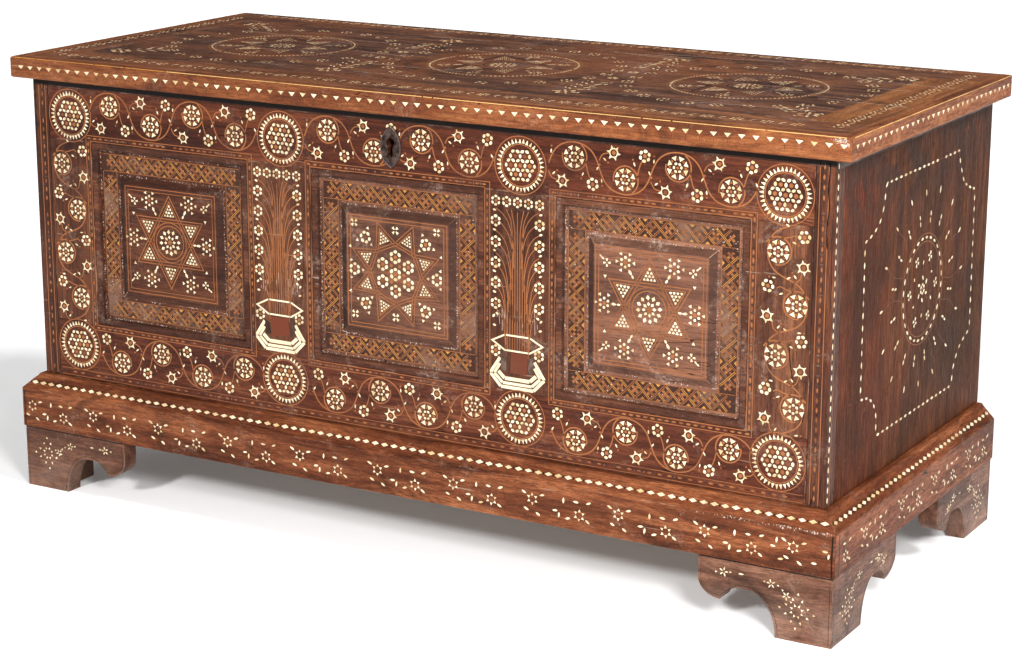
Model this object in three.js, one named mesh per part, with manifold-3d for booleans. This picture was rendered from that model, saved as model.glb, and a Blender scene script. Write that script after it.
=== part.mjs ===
// Inlaid walnut wedding chest: a framed and panelled case on a mitred plinth with four bracket
// feet, closed by a hinged lid and a lock. Millimetres, +Z up, the front faces -Y. The origin is
// on the floor under the middle of the chest's whole footprint.
import * as THREE from 'three';
import { mergeVertices } from 'three/addons/utils/BufferGeometryUtils.js';
import Module from 'manifold-3d';

const wasm = await Module();
wasm.setup();

// Gap between two pieces that touch
const JOINT_GAP = 0.3;

// Case
const CASE_WIDTH = 1280;
const CASE_DEPTH = 564;
const CASE_HEIGHT = 453;
const SIDE_THICKNESS = 22;
const BACK_THICKNESS = 20;
const BACK_LOWER_HEIGHT = 228;

// Joined front frame
const FRAME_THICKNESS = 26;
const POST_WIDTH = 28;
const TOP_RAIL_HEIGHT = 88;
const BOTTOM_RAIL_HEIGHT = 89;
const STILE_WIDTH = 82;
const MUNTIN_WIDTH = 110;
const BAY_SHIFT = -4.5;
const TENON_WIDTH = 44;
const TENON_THICKNESS = 8;
const TENON_LENGTH = 25;
const TENON_SETBACK = 10.5;
const POST_TENON_LENGTH = 15;
const RABBET_WIDTH = 6;

// Raised panels and the mouldings planted round them
const PANEL_RECESS = 6;
const PANEL_THICKNESS = 10;
const FIELD_RISE = 4.5;
const FIELD_BEVEL = 9.5;
const PANEL_BORDER = 36.5;
const MOULDING_WIDTH = 10.5;
const MOULDING_EASE = 1.2;
const MOULDING_FALL = 0.5;
const MOULDING_NOSE = 3;

// Floor
const FLOOR_THICKNESS = 16;
const FLOOR_BOARDS = 3;
const BEARER_WIDTH = 60;
const BEARER_HEIGHT = 40;
const BEARER_FROM_SIDE = 320;

// Plinth
const PLINTH_HEIGHT = 81;
const PLINTH_PROJECTION = 27;
const PLINTH_UNDERLAP = 18;
const PLINTH_LEDGE = 6;
const PLINTH_SLOPE_DROP = 21;
const PLINTH_NOSE_RADIUS = 3;

// Bracket feet
const FOOT_HEIGHT = 95;
const FOOT_INSET = 2;
const FOOT_THICKNESS = 28;
const FOOT_LEG_WIDTH = 79;
const FOOT_SIDE_LEG_WIDTH = 99;
const FOOT_ARCH_WIDTH = 40;
const FOOT_ARCH_HEIGHT = 58;
const FOOT_ARCH_FLAT = 13;
const FOOT_LOBE_RUN = 26;
const FOOT_LOBE_BOTTOM = 38;
const FOOT_LOBE_WIDTH = 32;
const FOOT_SIDE_LOBE_WIDTH = 38;
const FOOT_LOBE_SHOULDER = 64;
const GLUE_BLOCK_WIDTH = 42;
const GLUE_BLOCK_LIFT = 6;

// Lid
const LID_THICKNESS = 31;
const LID_SIDE_OVERHANG = 26;
const LID_FRONT_OVERHANG = 18;
const NOSING_WIDTH = 16;
const NOSING_RADIUS = 3;
const LID_BORDER_FRONT = 92;
const LID_BORDER_BACK = 82;
const LID_BORDER_LEFT = 69;
const LID_BORDER_RIGHT = 95;
const BATTEN_WIDTH = 46;
const BATTEN_THICKNESS = 18;
const BATTEN_SETBACK = 40;
const BATTEN_FROM_SIDE = 50;

// Hinges
const HINGE_FROM_SIDE = 240;
const LEAF_THICKNESS = 2.5;
const LEAF_WIDTH = 54;
const LEAF_FLARE = 9;
const CASE_LEAF_HEIGHT = 62;
const LID_LEAF_HEIGHT = 27;
const KNUCKLE_RADIUS = 5.5;
const KNUCKLE_GAP = 0.4;
const HINGE_PIN_RADIUS = 2.6;
const HINGE_PIN_CLEARANCE = 0.3;
const PIN_HEAD_RADIUS = 3.8;
const PIN_HEAD_LENGTH = 2;
const NAIL_HEAD_RADIUS = 3.2;
const NAIL_HEAD_HEIGHT = 1.6;
const NAIL_INSET = 9;

// Lock, its escutcheon and its staple
const LOCK_X = -11;
const KEYHOLE_RADIUS = 6.5;
const KEYHOLE_DROP = 40;
const KEYHOLE_SLOT_WIDTH = 8;
const KEYHOLE_SLOT_LENGTH = 19;
const KEYHOLE_CLEARANCE = 1;
const ESCUTCHEON_WIDTH = 34;
const ESCUTCHEON_HEIGHT = 60;
const ESCUTCHEON_THICKNESS = 1.8;
const ESCUTCHEON_BEVEL = 0.7;
const ESCUTCHEON_PIN_RADIUS = 2.2;
const ESCUTCHEON_PIN_INSET = 7;
const LOCK_CASE_WIDTH = 120;
const LOCK_CASE_HEIGHT = 72;
const LOCK_CASE_DEPTH = 17;
const LOCK_CASE_WALL = 2;
const LOCK_CASE_DROP = 7;
const STAPLE_FROM_KEYHOLE = 30;
const STAPLE_WIDTH = 8;
const STAPLE_LEG = 2.8;
const STAPLE_EYE_DEPTH = 5.4;
const STAPLE_EYE_HEIGHT = 11;
const STAPLE_FOOT = 3;
const STAPLE_SETBACK = 2.3;
const STAPLE_PLATE_THICKNESS = 3;
const STAPLE_PLATE_WIDTH = 60;
const STAPLE_PLATE_DEPTH = 22;
const STAPLE_SLOT_CLEARANCE = 2.5;
const BOLT_HEIGHT = 8;
const BOLT_THICKNESS = 4;
const BOLT_LENGTH = 66;
const BOLT_REST_GAP = 2;
const BOLT_TRAVEL = 20;
const BOLT_CLEARANCE = 0.4;
const BOLT_TALON_WIDTH = 4;
const BOLT_TALON_DROP = 8;
const GUIDE_WIDTH = 6;
const GUIDE_WALL = 2.6;

// Faces and levels that many pieces share
const halfWidth = CASE_WIDTH / 2;
const halfDepth = CASE_DEPTH / 2;
const caseBase = FOOT_HEIGHT + PLINTH_HEIGHT;
const caseTop = caseBase + CASE_HEIGHT;
const lidTop = caseTop + LID_THICKNESS;
const frontFace = -halfDepth;
const frameBack = frontFace + FRAME_THICKNESS;
const backInner = halfDepth - BACK_THICKNESS;
const sideInner = halfWidth - SIDE_THICKNESS;
const railEnd = halfWidth - POST_WIDTH;
const openingTop = caseTop - TOP_RAIL_HEIGHT;
const openingBottom = caseBase + BOTTOM_RAIL_HEIGHT;
const openingHeight = openingTop - openingBottom;
const openingWidth = (2 * railEnd - 2 * STILE_WIDTH - 2 * MUNTIN_WIDTH) / 3;
const panelPitch = openingWidth + MUNTIN_WIDTH;
const panelFace = frontFace + PANEL_RECESS;
const hingeAxisY = halfDepth + JOINT_GAP + KNUCKLE_RADIUS;
const keyholeZ = caseTop - KEYHOLE_DROP;
const boltZ = caseTop - JOINT_GAP - STAPLE_PLATE_THICKNESS - LOCK_CASE_DROP - STAPLE_EYE_HEIGHT;
const stapleY = frameBack + STAPLE_SETBACK + STAPLE_LEG + STAPLE_EYE_DEPTH / 2;
const stapleX = LOCK_X - STAPLE_FROM_KEYHOLE;
const boltRestX = stapleX + STAPLE_WIDTH / 2 + BOLT_REST_GAP;
const talonRestX = LOCK_X + (BOLT_TRAVEL - BOLT_TALON_WIDTH) / 2;

const walnut = { color: 0x5a2e1e, roughness: 0.55, metalness: 0 };
const redWalnut = { color: 0x6b3220, roughness: 0.5, metalness: 0 };
const greyWalnut = { color: 0x54382d, roughness: 0.65, metalness: 0 };
const paleWood = { color: 0x8a5230, roughness: 0.6, metalness: 0 };
const insideWood = { color: 0x7a5a3c, roughness: 0.8, metalness: 0 };
const iron = { color: 0x4a4340, roughness: 0.5, metalness: 0.85 };

// Solids

function solid(geometry) {
  const bare = geometry.clone();
  bare.deleteAttribute('normal');
  bare.deleteAttribute('uv');
  const merged = mergeVertices(bare, 1e-4);
  const mesh = new wasm.Mesh({
    numProp: 3,
    vertProperties: new Float32Array(merged.attributes.position.array),
    triVerts: new Uint32Array(merged.index.array),
  });
  mesh.merge();
  return new wasm.Manifold(mesh);
}

function geometryOf(manifold) {
  const mesh = manifold.getMesh();
  const geometry = new THREE.BufferGeometry();
  geometry.setAttribute('position', new THREE.BufferAttribute(new Float32Array(mesh.vertProperties), 3));
  geometry.setIndex(new THREE.BufferAttribute(new Uint32Array(mesh.triVerts), 1));
  geometry.computeVertexNormals();
  return geometry;
}

function block([x0, x1], [y0, y1], [z0, z1]) {
  const box = new THREE.BoxGeometry(x1 - x0, y1 - y0, z1 - z0);
  return box.translate((x0 + x1) / 2, (y0 + y1) / 2, (z0 + z1) / 2);
}

function cylinderAlong(axis, radius, from, to, [a, b], sides = 20) {
  const cylinder = new THREE.CylinderGeometry(radius, radius, to - from, sides);
  const middle = (from + to) / 2;
  if (axis === 'x') return cylinder.rotateZ(Math.PI / 2).translate(middle, a, b);
  return cylinder.translate(a, middle, b);
}

// Extrudes an outline drawn in the XZ plane from the plane y0 to the plane y1.
function slabFacingFront(shape, y0, y1, curveSegments = 12) {
  const slab = new THREE.ExtrudeGeometry(shape, { depth: y1 - y0, bevelEnabled: false, curveSegments });
  return slab.rotateX(Math.PI / 2).translate(0, y1, 0);
}

// Joins two copies of an outline, each put in place by its own function, into one closed solid.
// Both ends are flat, square or mitred, so the outline's own triangles close them.
function loft(outline, placeStart, placeEnd) {
  const count = outline.length;
  const points = [...outline.map(placeStart), ...outline.map(placeEnd)];
  const faces = THREE.ShapeUtils.triangulateShape(outline, []);
  const index = [];
  for (const [a, b, c] of faces) index.push(a, c, b, a + count, b + count, c + count);
  for (let i = 0; i < count; i += 1) {
    const next = (i + 1) % count;
    index.push(i, next, i + count, next, next + count, i + count);
  }
  return closedSurface(points, index);
}

// Turns a closed surface's triangles outwards, whichever way its outline was drawn.
function closedSurface(points, index) {
  const triple = new THREE.Vector3();
  let volume = 0;
  for (let i = 0; i < index.length; i += 3) {
    const [a, b, c] = [points[index[i]], points[index[i + 1]], points[index[i + 2]]];
    volume += a.dot(triple.crossVectors(b, c));
  }
  const outward = volume > 0 ? index : index.toReversed();
  const geometry = new THREE.BufferGeometry().setFromPoints(points);
  geometry.setIndex(outward);
  geometry.computeVertexNormals();
  return geometry;
}

function cut(geometry, ...tools) {
  return geometryOf(tools.reduce((body, tool) => body.subtract(solid(tool)), solid(geometry)));
}

function join(geometry, ...others) {
  return geometryOf(others.reduce((body, other) => body.add(solid(other)), solid(geometry)));
}

function piece(name, geometry, finish) {
  const mesh = new THREE.Mesh(geometry, new THREE.MeshStandardMaterial(finish));
  mesh.name = name;
  return mesh;
}

// Front frame: corner posts, rails, stiles and muntins, mortised and tenoned

const tenonFront = frontFace + TENON_SETBACK;
const tenonBack = tenonFront + TENON_THICKNESS;
const rabbetFront = panelFace - JOINT_GAP;

// A mortise is its tenon grown by the joint gap on every side.
function grown([from, to]) {
  return [from - JOINT_GAP, to + JOINT_GAP];
}

function tenonSpan(from, to) {
  const middle = (from + to) / 2;
  return [middle - TENON_WIDTH / 2, middle + TENON_WIDTH / 2];
}

function railSpans() {
  const top = [openingTop, caseTop - JOINT_GAP];
  const bottom = [caseBase + JOINT_GAP, openingBottom];
  return { top, bottom };
}

function cornerPost(side) {
  const spans = [side * railEnd, side * halfWidth].sort((a, b) => a - b);
  const mouth = side * railEnd;
  const bottomOfMortise = side * (railEnd + POST_TENON_LENGTH + JOINT_GAP);
  const pocket = [mouth - side * JOINT_GAP, bottomOfMortise].sort((a, b) => a - b);
  const { top, bottom } = railSpans();
  const mortises = [top, bottom].map((rail) =>
    block(pocket, grown([tenonFront, tenonBack]), grown(tenonSpan(...rail))));
  const post = block(spans, [frontFace, frameBack], [caseBase + JOINT_GAP, caseTop - JOINT_GAP]);
  return cut(post, ...mortises);
}

// The upright members' places along the front, each as [from, to]. The three bays sit a little
// left of the middle, as the joiner set them out.
function uprightSpans() {
  const inner = openingWidth / 2;
  const stileEdge = railEnd - STILE_WIDTH;
  return {
    stile_left: [-railEnd, BAY_SHIFT - stileEdge],
    muntin_left: [BAY_SHIFT - inner - MUNTIN_WIDTH, BAY_SHIFT - inner],
    muntin_right: [BAY_SHIFT + inner, BAY_SHIFT + inner + MUNTIN_WIDTH],
    stile_right: [BAY_SHIFT + stileEdge, railEnd],
  };
}

function panelCentres() {
  return { left: BAY_SHIFT - panelPitch, centre: BAY_SHIFT, right: BAY_SHIFT + panelPitch };
}

// A rail has a tenon at each end, a mortise for each upright and a rabbet behind each opening.
function rail(span, openingEdge, towardsOpening) {
  const length = [-railEnd + JOINT_GAP, railEnd - JOINT_GAP];
  const body = block(length, [frontFace, frameBack], span);
  const reach = railEnd + POST_TENON_LENGTH;
  const tongue = block([-reach, reach], [tenonFront, tenonBack], tenonSpan(...span));
  const into = -towardsOpening;
  const pocket = [openingEdge - into * JOINT_GAP, openingEdge + into * (TENON_LENGTH + JOINT_GAP)];
  const mortises = Object.values(uprightSpans()).map((upright) =>
    block(grown(tenonSpan(...upright)), grown([tenonFront, tenonBack]), pocket.toSorted((a, b) => a - b)));
  const lip = [openingEdge - into, openingEdge + into * (RABBET_WIDTH + JOINT_GAP)].sort((a, b) => a - b);
  const halfRabbet = openingWidth / 2 + RABBET_WIDTH + JOINT_GAP;
  const rabbets = Object.values(panelCentres()).map((x) =>
    block([x - halfRabbet, x + halfRabbet], [rabbetFront, frameBack + 1], lip));
  return cut(join(body, tongue), ...mortises, ...rabbets);
}

// A stile or muntin stands between the rails. It is rabbeted on each edge that holds a panel.
function upright([from, to], panelOnLeft, panelOnRight) {
  const height = [openingBottom + JOINT_GAP, openingTop - JOINT_GAP];
  const body = block([from, to], [frontFace, frameBack], height);
  const reach = [openingBottom - TENON_LENGTH, openingTop + TENON_LENGTH];
  const tongue = block(tenonSpan(from, to), [tenonFront, tenonBack], reach);
  const width = RABBET_WIDTH + JOINT_GAP;
  const behind = [rabbetFront, frameBack + 1];
  const full = [openingBottom - 1, openingTop + 1];
  const rabbets = [];
  if (panelOnLeft) rabbets.push(block([from - 1, from + width], behind, full));
  if (panelOnRight) rabbets.push(block([to - width, to + 1], behind, full));
  return join(cut(body, ...rabbets), tongue);
}

// A board that fills its rabbets, with a square field raised on it by steep bevels.
function raisedPanel() {
  const half = { x: openingWidth / 2, z: openingHeight / 2 };
  const edge = { x: half.x + RABBET_WIDTH, z: half.z + RABBET_WIDTH };
  const board = block([-edge.x, edge.x], [0, PANEL_THICKNESS], [-edge.z, edge.z]);
  const inset = MOULDING_WIDTH + PANEL_BORDER;
  const foot = { x: half.x - inset, z: half.z - inset };
  const corners = [[-1, -1], [1, -1], [1, 1], [-1, 1]].map(([x, z]) => new THREE.Vector2(x, z));
  const place = (bevel, y) => (corner) =>
    new THREE.Vector3(corner.x * (foot.x - bevel), y, corner.y * (foot.z - bevel));
  const slope = FIELD_BEVEL / FIELD_RISE;
  const field = loft(corners, place(-slope, 1), place(FIELD_BEVEL, -FIELD_RISE));
  return join(board, field);
}

// A nearly flat band drawn across the moulding, eased at the frame and rolled over into a nose
// above the panel: x runs inwards from the frame, y is the depth behind the frame's face.
function mouldingProfile() {
  const back = PANEL_RECESS - JOINT_GAP;
  const noseStart = MOULDING_WIDTH - MOULDING_NOSE;
  const shape = new THREE.Shape();
  shape.moveTo(0, back);
  shape.lineTo(0, MOULDING_EASE);
  shape.quadraticCurveTo(0, 0, MOULDING_EASE, 0);
  shape.lineTo(noseStart, MOULDING_FALL);
  shape.quadraticCurveTo(MOULDING_WIDTH, MOULDING_FALL, MOULDING_WIDTH, MOULDING_FALL + MOULDING_NOSE);
  shape.lineTo(MOULDING_WIDTH, back);
  return shape.getPoints(5);
}

// Carries the moulding's profile round the opening with a mitre at each corner.
function panelMoulding() {
  const profile = mouldingProfile();
  const count = profile.length;
  const half = { x: openingWidth / 2 - JOINT_GAP, z: openingHeight / 2 - JOINT_GAP };
  const corners = [[-1, -1], [1, -1], [1, 1], [-1, 1]];
  const points = corners.flatMap(([sx, sz]) => profile.map((p) =>
    new THREE.Vector3(sx * (half.x - p.x), p.y, sz * (half.z - p.x))));
  const index = [];
  for (let corner = 0; corner < corners.length; corner += 1) {
    const here = corner * count;
    const there = ((corner + 1) % corners.length) * count;
    for (let i = 0; i < count; i += 1) {
      const next = (i + 1) % count;
      index.push(here + i, here + next, there + i, here + next, there + next, there + i);
    }
  }
  return closedSurface(points, index);
}

function keyholeShape(grow) {
  const shape = new THREE.Shape();
  const radius = KEYHOLE_RADIUS + grow;
  const halfSlot = KEYHOLE_SLOT_WIDTH / 2 + grow;
  const meet = Math.sqrt(radius * radius - halfSlot * halfSlot);
  const start = Math.atan2(-meet, halfSlot);
  shape.absarc(0, 0, radius, start, Math.PI - start, false);
  shape.lineTo(-halfSlot, -KEYHOLE_SLOT_LENGTH - grow);
  shape.lineTo(halfSlot, -KEYHOLE_SLOT_LENGTH - grow);
  return shape;
}

function frontFrame() {
  const frame = new THREE.Group();
  const { top, bottom } = railSpans();
  const spans = uprightSpans();
  const keyhole = slabFacingFront(keyholeShape(KEYHOLE_CLEARANCE), frontFace - 1, frameBack + 1)
    .translate(LOCK_X, 0, keyholeZ);
  frame.add(
    piece('corner_post_left', cornerPost(-1), redWalnut),
    piece('corner_post_right', cornerPost(1), redWalnut),
    piece('rail_top', cut(rail(top, openingTop, -1), keyhole), redWalnut),
    piece('rail_bottom', rail(bottom, openingBottom, 1), redWalnut),
    piece('stile_left', upright(spans.stile_left, false, true), greyWalnut),
    piece('stile_right', upright(spans.stile_right, true, false), greyWalnut),
    piece('muntin_left', upright(spans.muntin_left, true, true), walnut),
    piece('muntin_right', upright(spans.muntin_right, true, true), walnut),
  );
  for (const [place, x] of Object.entries(panelCentres())) {
    const bay = new THREE.Group();
    bay.position.set(x, frontFace, (openingTop + openingBottom) / 2);
    const panel = piece(`panel_${place}`, raisedPanel(), walnut);
    panel.position.y = PANEL_RECESS;
    bay.add(panel, piece(`moulding_${place}`, panelMoulding(), greyWalnut));
    frame.add(bay);
  }
  return frame;
}

// Side, back and floor boards

function caseBoards() {
  const boards = new THREE.Group();
  const height = [caseBase + JOINT_GAP, caseTop - JOINT_GAP];
  const depth = [frameBack + JOINT_GAP, halfDepth];
  boards.add(
    piece('side_left', block([-halfWidth, -sideInner], depth, height), walnut),
    piece('side_right', block([sideInner, halfWidth], depth, height), walnut),
  );
  const across = [-sideInner + JOINT_GAP, sideInner - JOINT_GAP];
  const seam = caseBase + BACK_LOWER_HEIGHT;
  const back = [backInner, halfDepth];
  boards.add(
    piece('back_board_lower', block(across, back, [height[0], seam]), insideWood),
    piece('back_board_upper', block(across, back, [seam + JOINT_GAP, height[1]]), insideWood),
  );
  const floorFront = frameBack + JOINT_GAP;
  const boardDepth = (backInner - floorFront) / FLOOR_BOARDS;
  for (let i = 0; i < FLOOR_BOARDS; i += 1) {
    const from = floorFront + i * boardDepth;
    const floor = block(across, [from, from + boardDepth - JOINT_GAP], [height[0], height[0] + FLOOR_THICKNESS]);
    boards.add(piece(`floor_board_${i + 1}`, floor, insideWood));
  }
  const bearerFront = frontFace + PLINTH_UNDERLAP + JOINT_GAP;
  const bearerBack = plinthBackInner() - JOINT_GAP;
  for (const [place, side] of [['left', -1], ['right', 1]]) {
    const x = side * (halfWidth - BEARER_FROM_SIDE);
    const span = [x - BEARER_WIDTH / 2, x + BEARER_WIDTH / 2];
    const bearer = block(span, [bearerFront, bearerBack], [caseBase - BEARER_HEIGHT, caseBase]);
    boards.add(piece(`floor_bearer_${place}`, bearer, insideWood));
  }
  return boards;
}

// Plinth: a moulded board along the front and each side, mitred at the front corners, and a
// plain board across the back

function plinthBackInner() {
  return halfDepth - PLINTH_UNDERLAP;
}

// The section of a plinth board: x is the distance out from the case's face, y is the height.
function plinthProfile() {
  const top = caseBase;
  const arris = top - PLINTH_SLOPE_DROP;
  const shape = new THREE.Shape();
  shape.moveTo(-PLINTH_UNDERLAP, FOOT_HEIGHT);
  shape.lineTo(PLINTH_PROJECTION, FOOT_HEIGHT);
  shape.lineTo(PLINTH_PROJECTION, arris);
  shape.lineTo(PLINTH_LEDGE + PLINTH_NOSE_RADIUS, top - PLINTH_NOSE_RADIUS);
  shape.quadraticCurveTo(PLINTH_LEDGE + PLINTH_NOSE_RADIUS / 2, top, PLINTH_LEDGE, top);
  shape.lineTo(-PLINTH_UNDERLAP, top);
  return shape.getPoints(5);
}

function plinth() {
  const boards = new THREE.Group();
  const profile = plinthProfile();
  const mitre = JOINT_GAP / 2;
  const front = loft(profile,
    (p) => new THREE.Vector3(-halfWidth - p.x + mitre, frontFace - p.x, p.y),
    (p) => new THREE.Vector3(halfWidth + p.x - mitre, frontFace - p.x, p.y));
  boards.add(piece('plinth_front', front, redWalnut));
  for (const [place, side] of [['left', -1], ['right', 1]]) {
    const board = loft(profile,
      (p) => new THREE.Vector3(side * (halfWidth + p.x), frontFace - p.x + mitre, p.y),
      (p) => new THREE.Vector3(side * (halfWidth + p.x), halfDepth, p.y));
    boards.add(piece(`plinth_${place}`, board, redWalnut));
  }
  const inside = halfWidth - PLINTH_UNDERLAP - JOINT_GAP;
  const back = block([-inside, inside], [plinthBackInner(), halfDepth], [FOOT_HEIGHT, caseBase]);
  boards.add(piece('plinth_back', back, insideWood));
  return boards;
}

// Bracket feet

// One bracket's outline: a straight leg, an arch and a hanging lobe at the inner end.
// The side brackets have the wider leg and lobe.
function bracketOutline(direction) {
  const onSide = direction === 'side';
  const legWidth = onSide ? FOOT_SIDE_LEG_WIDTH : FOOT_LEG_WIDTH;
  const lobeWidth = onSide ? FOOT_SIDE_LOBE_WIDTH : FOOT_LOBE_WIDTH;
  const top = FOOT_HEIGHT - JOINT_GAP;
  const archEnd = legWidth + FOOT_ARCH_WIDTH;
  const lobeStart = archEnd + FOOT_ARCH_FLAT;
  const lobeTip = lobeStart + FOOT_LOBE_RUN;
  const end = lobeTip + lobeWidth;
  const shape = new THREE.Shape();
  shape.moveTo(0, 0);
  shape.lineTo(legWidth, 0);
  shape.absellipse(archEnd, 0, FOOT_ARCH_WIDTH, FOOT_ARCH_HEIGHT, Math.PI, Math.PI / 2, true, 0);
  shape.lineTo(lobeStart, FOOT_ARCH_HEIGHT);
  const lobeNeck = (FOOT_ARCH_HEIGHT + FOOT_LOBE_BOTTOM) / 2;
  shape.bezierCurveTo(lobeStart + FOOT_LOBE_RUN * 0.4, FOOT_ARCH_HEIGHT,
    lobeStart + FOOT_LOBE_RUN * 0.75, lobeNeck, lobeTip, FOOT_LOBE_BOTTOM);
  shape.bezierCurveTo(lobeTip + lobeWidth * 0.45, FOOT_LOBE_BOTTOM,
    end, FOOT_LOBE_SHOULDER - (FOOT_LOBE_SHOULDER - FOOT_LOBE_BOTTOM) * 0.6, end, FOOT_LOBE_SHOULDER);
  shape.lineTo(end, top);
  shape.lineTo(0, top);
  const points = shape.getPoints(10);
  return points.filter((p, i) => i === 0 || p.distanceTo(points[i - 1]) > 0.01);
}

// A foot stands with its outer corner at the group's origin and runs along +X and +Y.
function bracketFoot(corner, alongX, alongY) {
  const mitre = JOINT_GAP / 2;
  const inner = FOOT_THICKNESS;
  const foot = new THREE.Group();
  const bracketX = loft(bracketOutline(alongX),
    (p) => new THREE.Vector3(Math.max(p.x, mitre), 0, p.y),
    (p) => new THREE.Vector3(Math.max(p.x, inner + mitre), inner, p.y));
  const bracketY = loft(bracketOutline(alongY),
    (p) => new THREE.Vector3(0, Math.max(p.x, mitre), p.y),
    (p) => new THREE.Vector3(inner, Math.max(p.x, inner + mitre), p.y));
  const blockSpan = [inner + JOINT_GAP, inner + JOINT_GAP + GLUE_BLOCK_WIDTH];
  const glueBlock = block(blockSpan, blockSpan, [GLUE_BLOCK_LIFT, FOOT_HEIGHT - JOINT_GAP]);
  foot.add(
    piece(`foot_${corner}_${alongX}_bracket`, bracketX, redWalnut),
    piece(`foot_${corner}_${alongY}_bracket`, bracketY, redWalnut),
    piece(`foot_${corner}_glue_block`, glueBlock, insideWood),
  );
  return foot;
}

function feet() {
  const group = new THREE.Group();
  const x = halfWidth + PLINTH_PROJECTION - FOOT_INSET;
  const front = -halfDepth - PLINTH_PROJECTION + FOOT_INSET;
  const back = halfDepth - FOOT_INSET;
  const corners = [
    { name: 'front_left', at: [-x, front], turn: 0, along: ['front', 'side'] },
    { name: 'front_right', at: [x, front], turn: 1, along: ['side', 'front'] },
    { name: 'back_right', at: [x, back], turn: 2, along: ['rear', 'side'] },
    { name: 'back_left', at: [-x, back], turn: 3, along: ['side', 'rear'] },
  ];
  for (const { name, at, turn, along } of corners) {
    const foot = bracketFoot(name, ...along);
    foot.position.set(at[0], at[1], 0);
    foot.rotation.z = turn * Math.PI / 2;
    group.add(foot);
  }
  return group;
}

// Lid: a field framed by rails and ends, with a mitred nosing along the front and the sides

// The section of the nosing: x runs outwards, y is the height, and both outer edges are eased.
function nosingProfile() {
  const outer = NOSING_WIDTH - NOSING_RADIUS;
  const shape = new THREE.Shape();
  shape.moveTo(0, caseTop);
  shape.absarc(outer, caseTop + NOSING_RADIUS, NOSING_RADIUS, -Math.PI / 2, 0, false);
  shape.absarc(outer, lidTop - NOSING_RADIUS, NOSING_RADIUS, 0, Math.PI / 2, false);
  shape.lineTo(0, lidTop);
  return shape.getPoints(5);
}

function lid() {
  const group = new THREE.Group();
  const sideEdge = halfWidth + LID_SIDE_OVERHANG;
  const frontEdge = frontFace - LID_FRONT_OVERHANG;
  const nosingInX = sideEdge - NOSING_WIDTH;
  const nosingInY = frontEdge + NOSING_WIDTH;
  const mitre = JOINT_GAP / 2;
  const profile = nosingProfile();
  const thickness = [caseTop, lidTop];

  const front = loft(profile,
    (p) => new THREE.Vector3(-nosingInX - p.x + mitre, nosingInY - p.x, p.y),
    (p) => new THREE.Vector3(nosingInX + p.x - mitre, nosingInY - p.x, p.y));
  group.add(piece('lid_nosing_front', front, paleWood));
  for (const [place, side] of [['left', -1], ['right', 1]]) {
    const nosing = loft(profile,
      (p) => new THREE.Vector3(side * (nosingInX + p.x), nosingInY - p.x + mitre, p.y),
      (p) => new THREE.Vector3(side * (nosingInX + p.x), halfDepth, p.y));
    group.add(piece(`lid_nosing_${place}`, nosing, paleWood));
  }

  const across = [-nosingInX + JOINT_GAP, nosingInX - JOINT_GAP];
  const fieldX = [-sideEdge + LID_BORDER_LEFT, sideEdge - LID_BORDER_RIGHT];
  const fieldY = [frontEdge + LID_BORDER_FRONT, halfDepth - LID_BORDER_BACK];
  const between = [fieldY[0] + JOINT_GAP, fieldY[1] - JOINT_GAP];
  group.add(
    piece('lid_rail_front', block(across, [nosingInY + JOINT_GAP, fieldY[0]], thickness), greyWalnut),
    piece('lid_rail_back', block(across, [fieldY[1], halfDepth], thickness), greyWalnut),
    piece('lid_end_left', block([across[0], fieldX[0]], between, thickness), greyWalnut),
    piece('lid_end_right', block([fieldX[1], across[1]], between, thickness), greyWalnut),
    piece('lid_field', block([fieldX[0] + JOINT_GAP, fieldX[1] - JOINT_GAP], between, thickness), greyWalnut),
  );

  const battenY = [frameBack + BATTEN_SETBACK, backInner - BATTEN_SETBACK];
  const battenZ = [caseTop - JOINT_GAP - BATTEN_THICKNESS, caseTop - JOINT_GAP];
  for (const [place, side] of [['left', -1], ['right', 1]]) {
    const near = side * (sideInner - BATTEN_FROM_SIDE);
    const far = near - side * BATTEN_WIDTH;
    const batten = block([near, far].sort((a, b) => a - b), battenY, battenZ);
    group.add(piece(`lid_batten_${place}`, batten, insideWood));
  }
  return group;
}

// Hinges: a case leaf with two knuckles, a lid leaf with one between them, and a headed pin

// A leaf flares away from its knuckles. It is drawn upwards from the hinge's axis.
function leafShape(height) {
  const half = LEAF_WIDTH / 2;
  const shape = new THREE.Shape();
  shape.moveTo(-half, 0);
  shape.lineTo(half, 0);
  shape.lineTo(half, KNUCKLE_RADIUS);
  shape.lineTo(half + LEAF_FLARE, height);
  shape.lineTo(-half - LEAF_FLARE, height);
  shape.lineTo(-half, KNUCKLE_RADIUS);
  return shape;
}

function nailHead(x, z, y) {
  return cylinderAlong('y', NAIL_HEAD_RADIUS, y - LEAF_THICKNESS / 2, y + NAIL_HEAD_HEIGHT, [x, z], 10);
}

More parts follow.
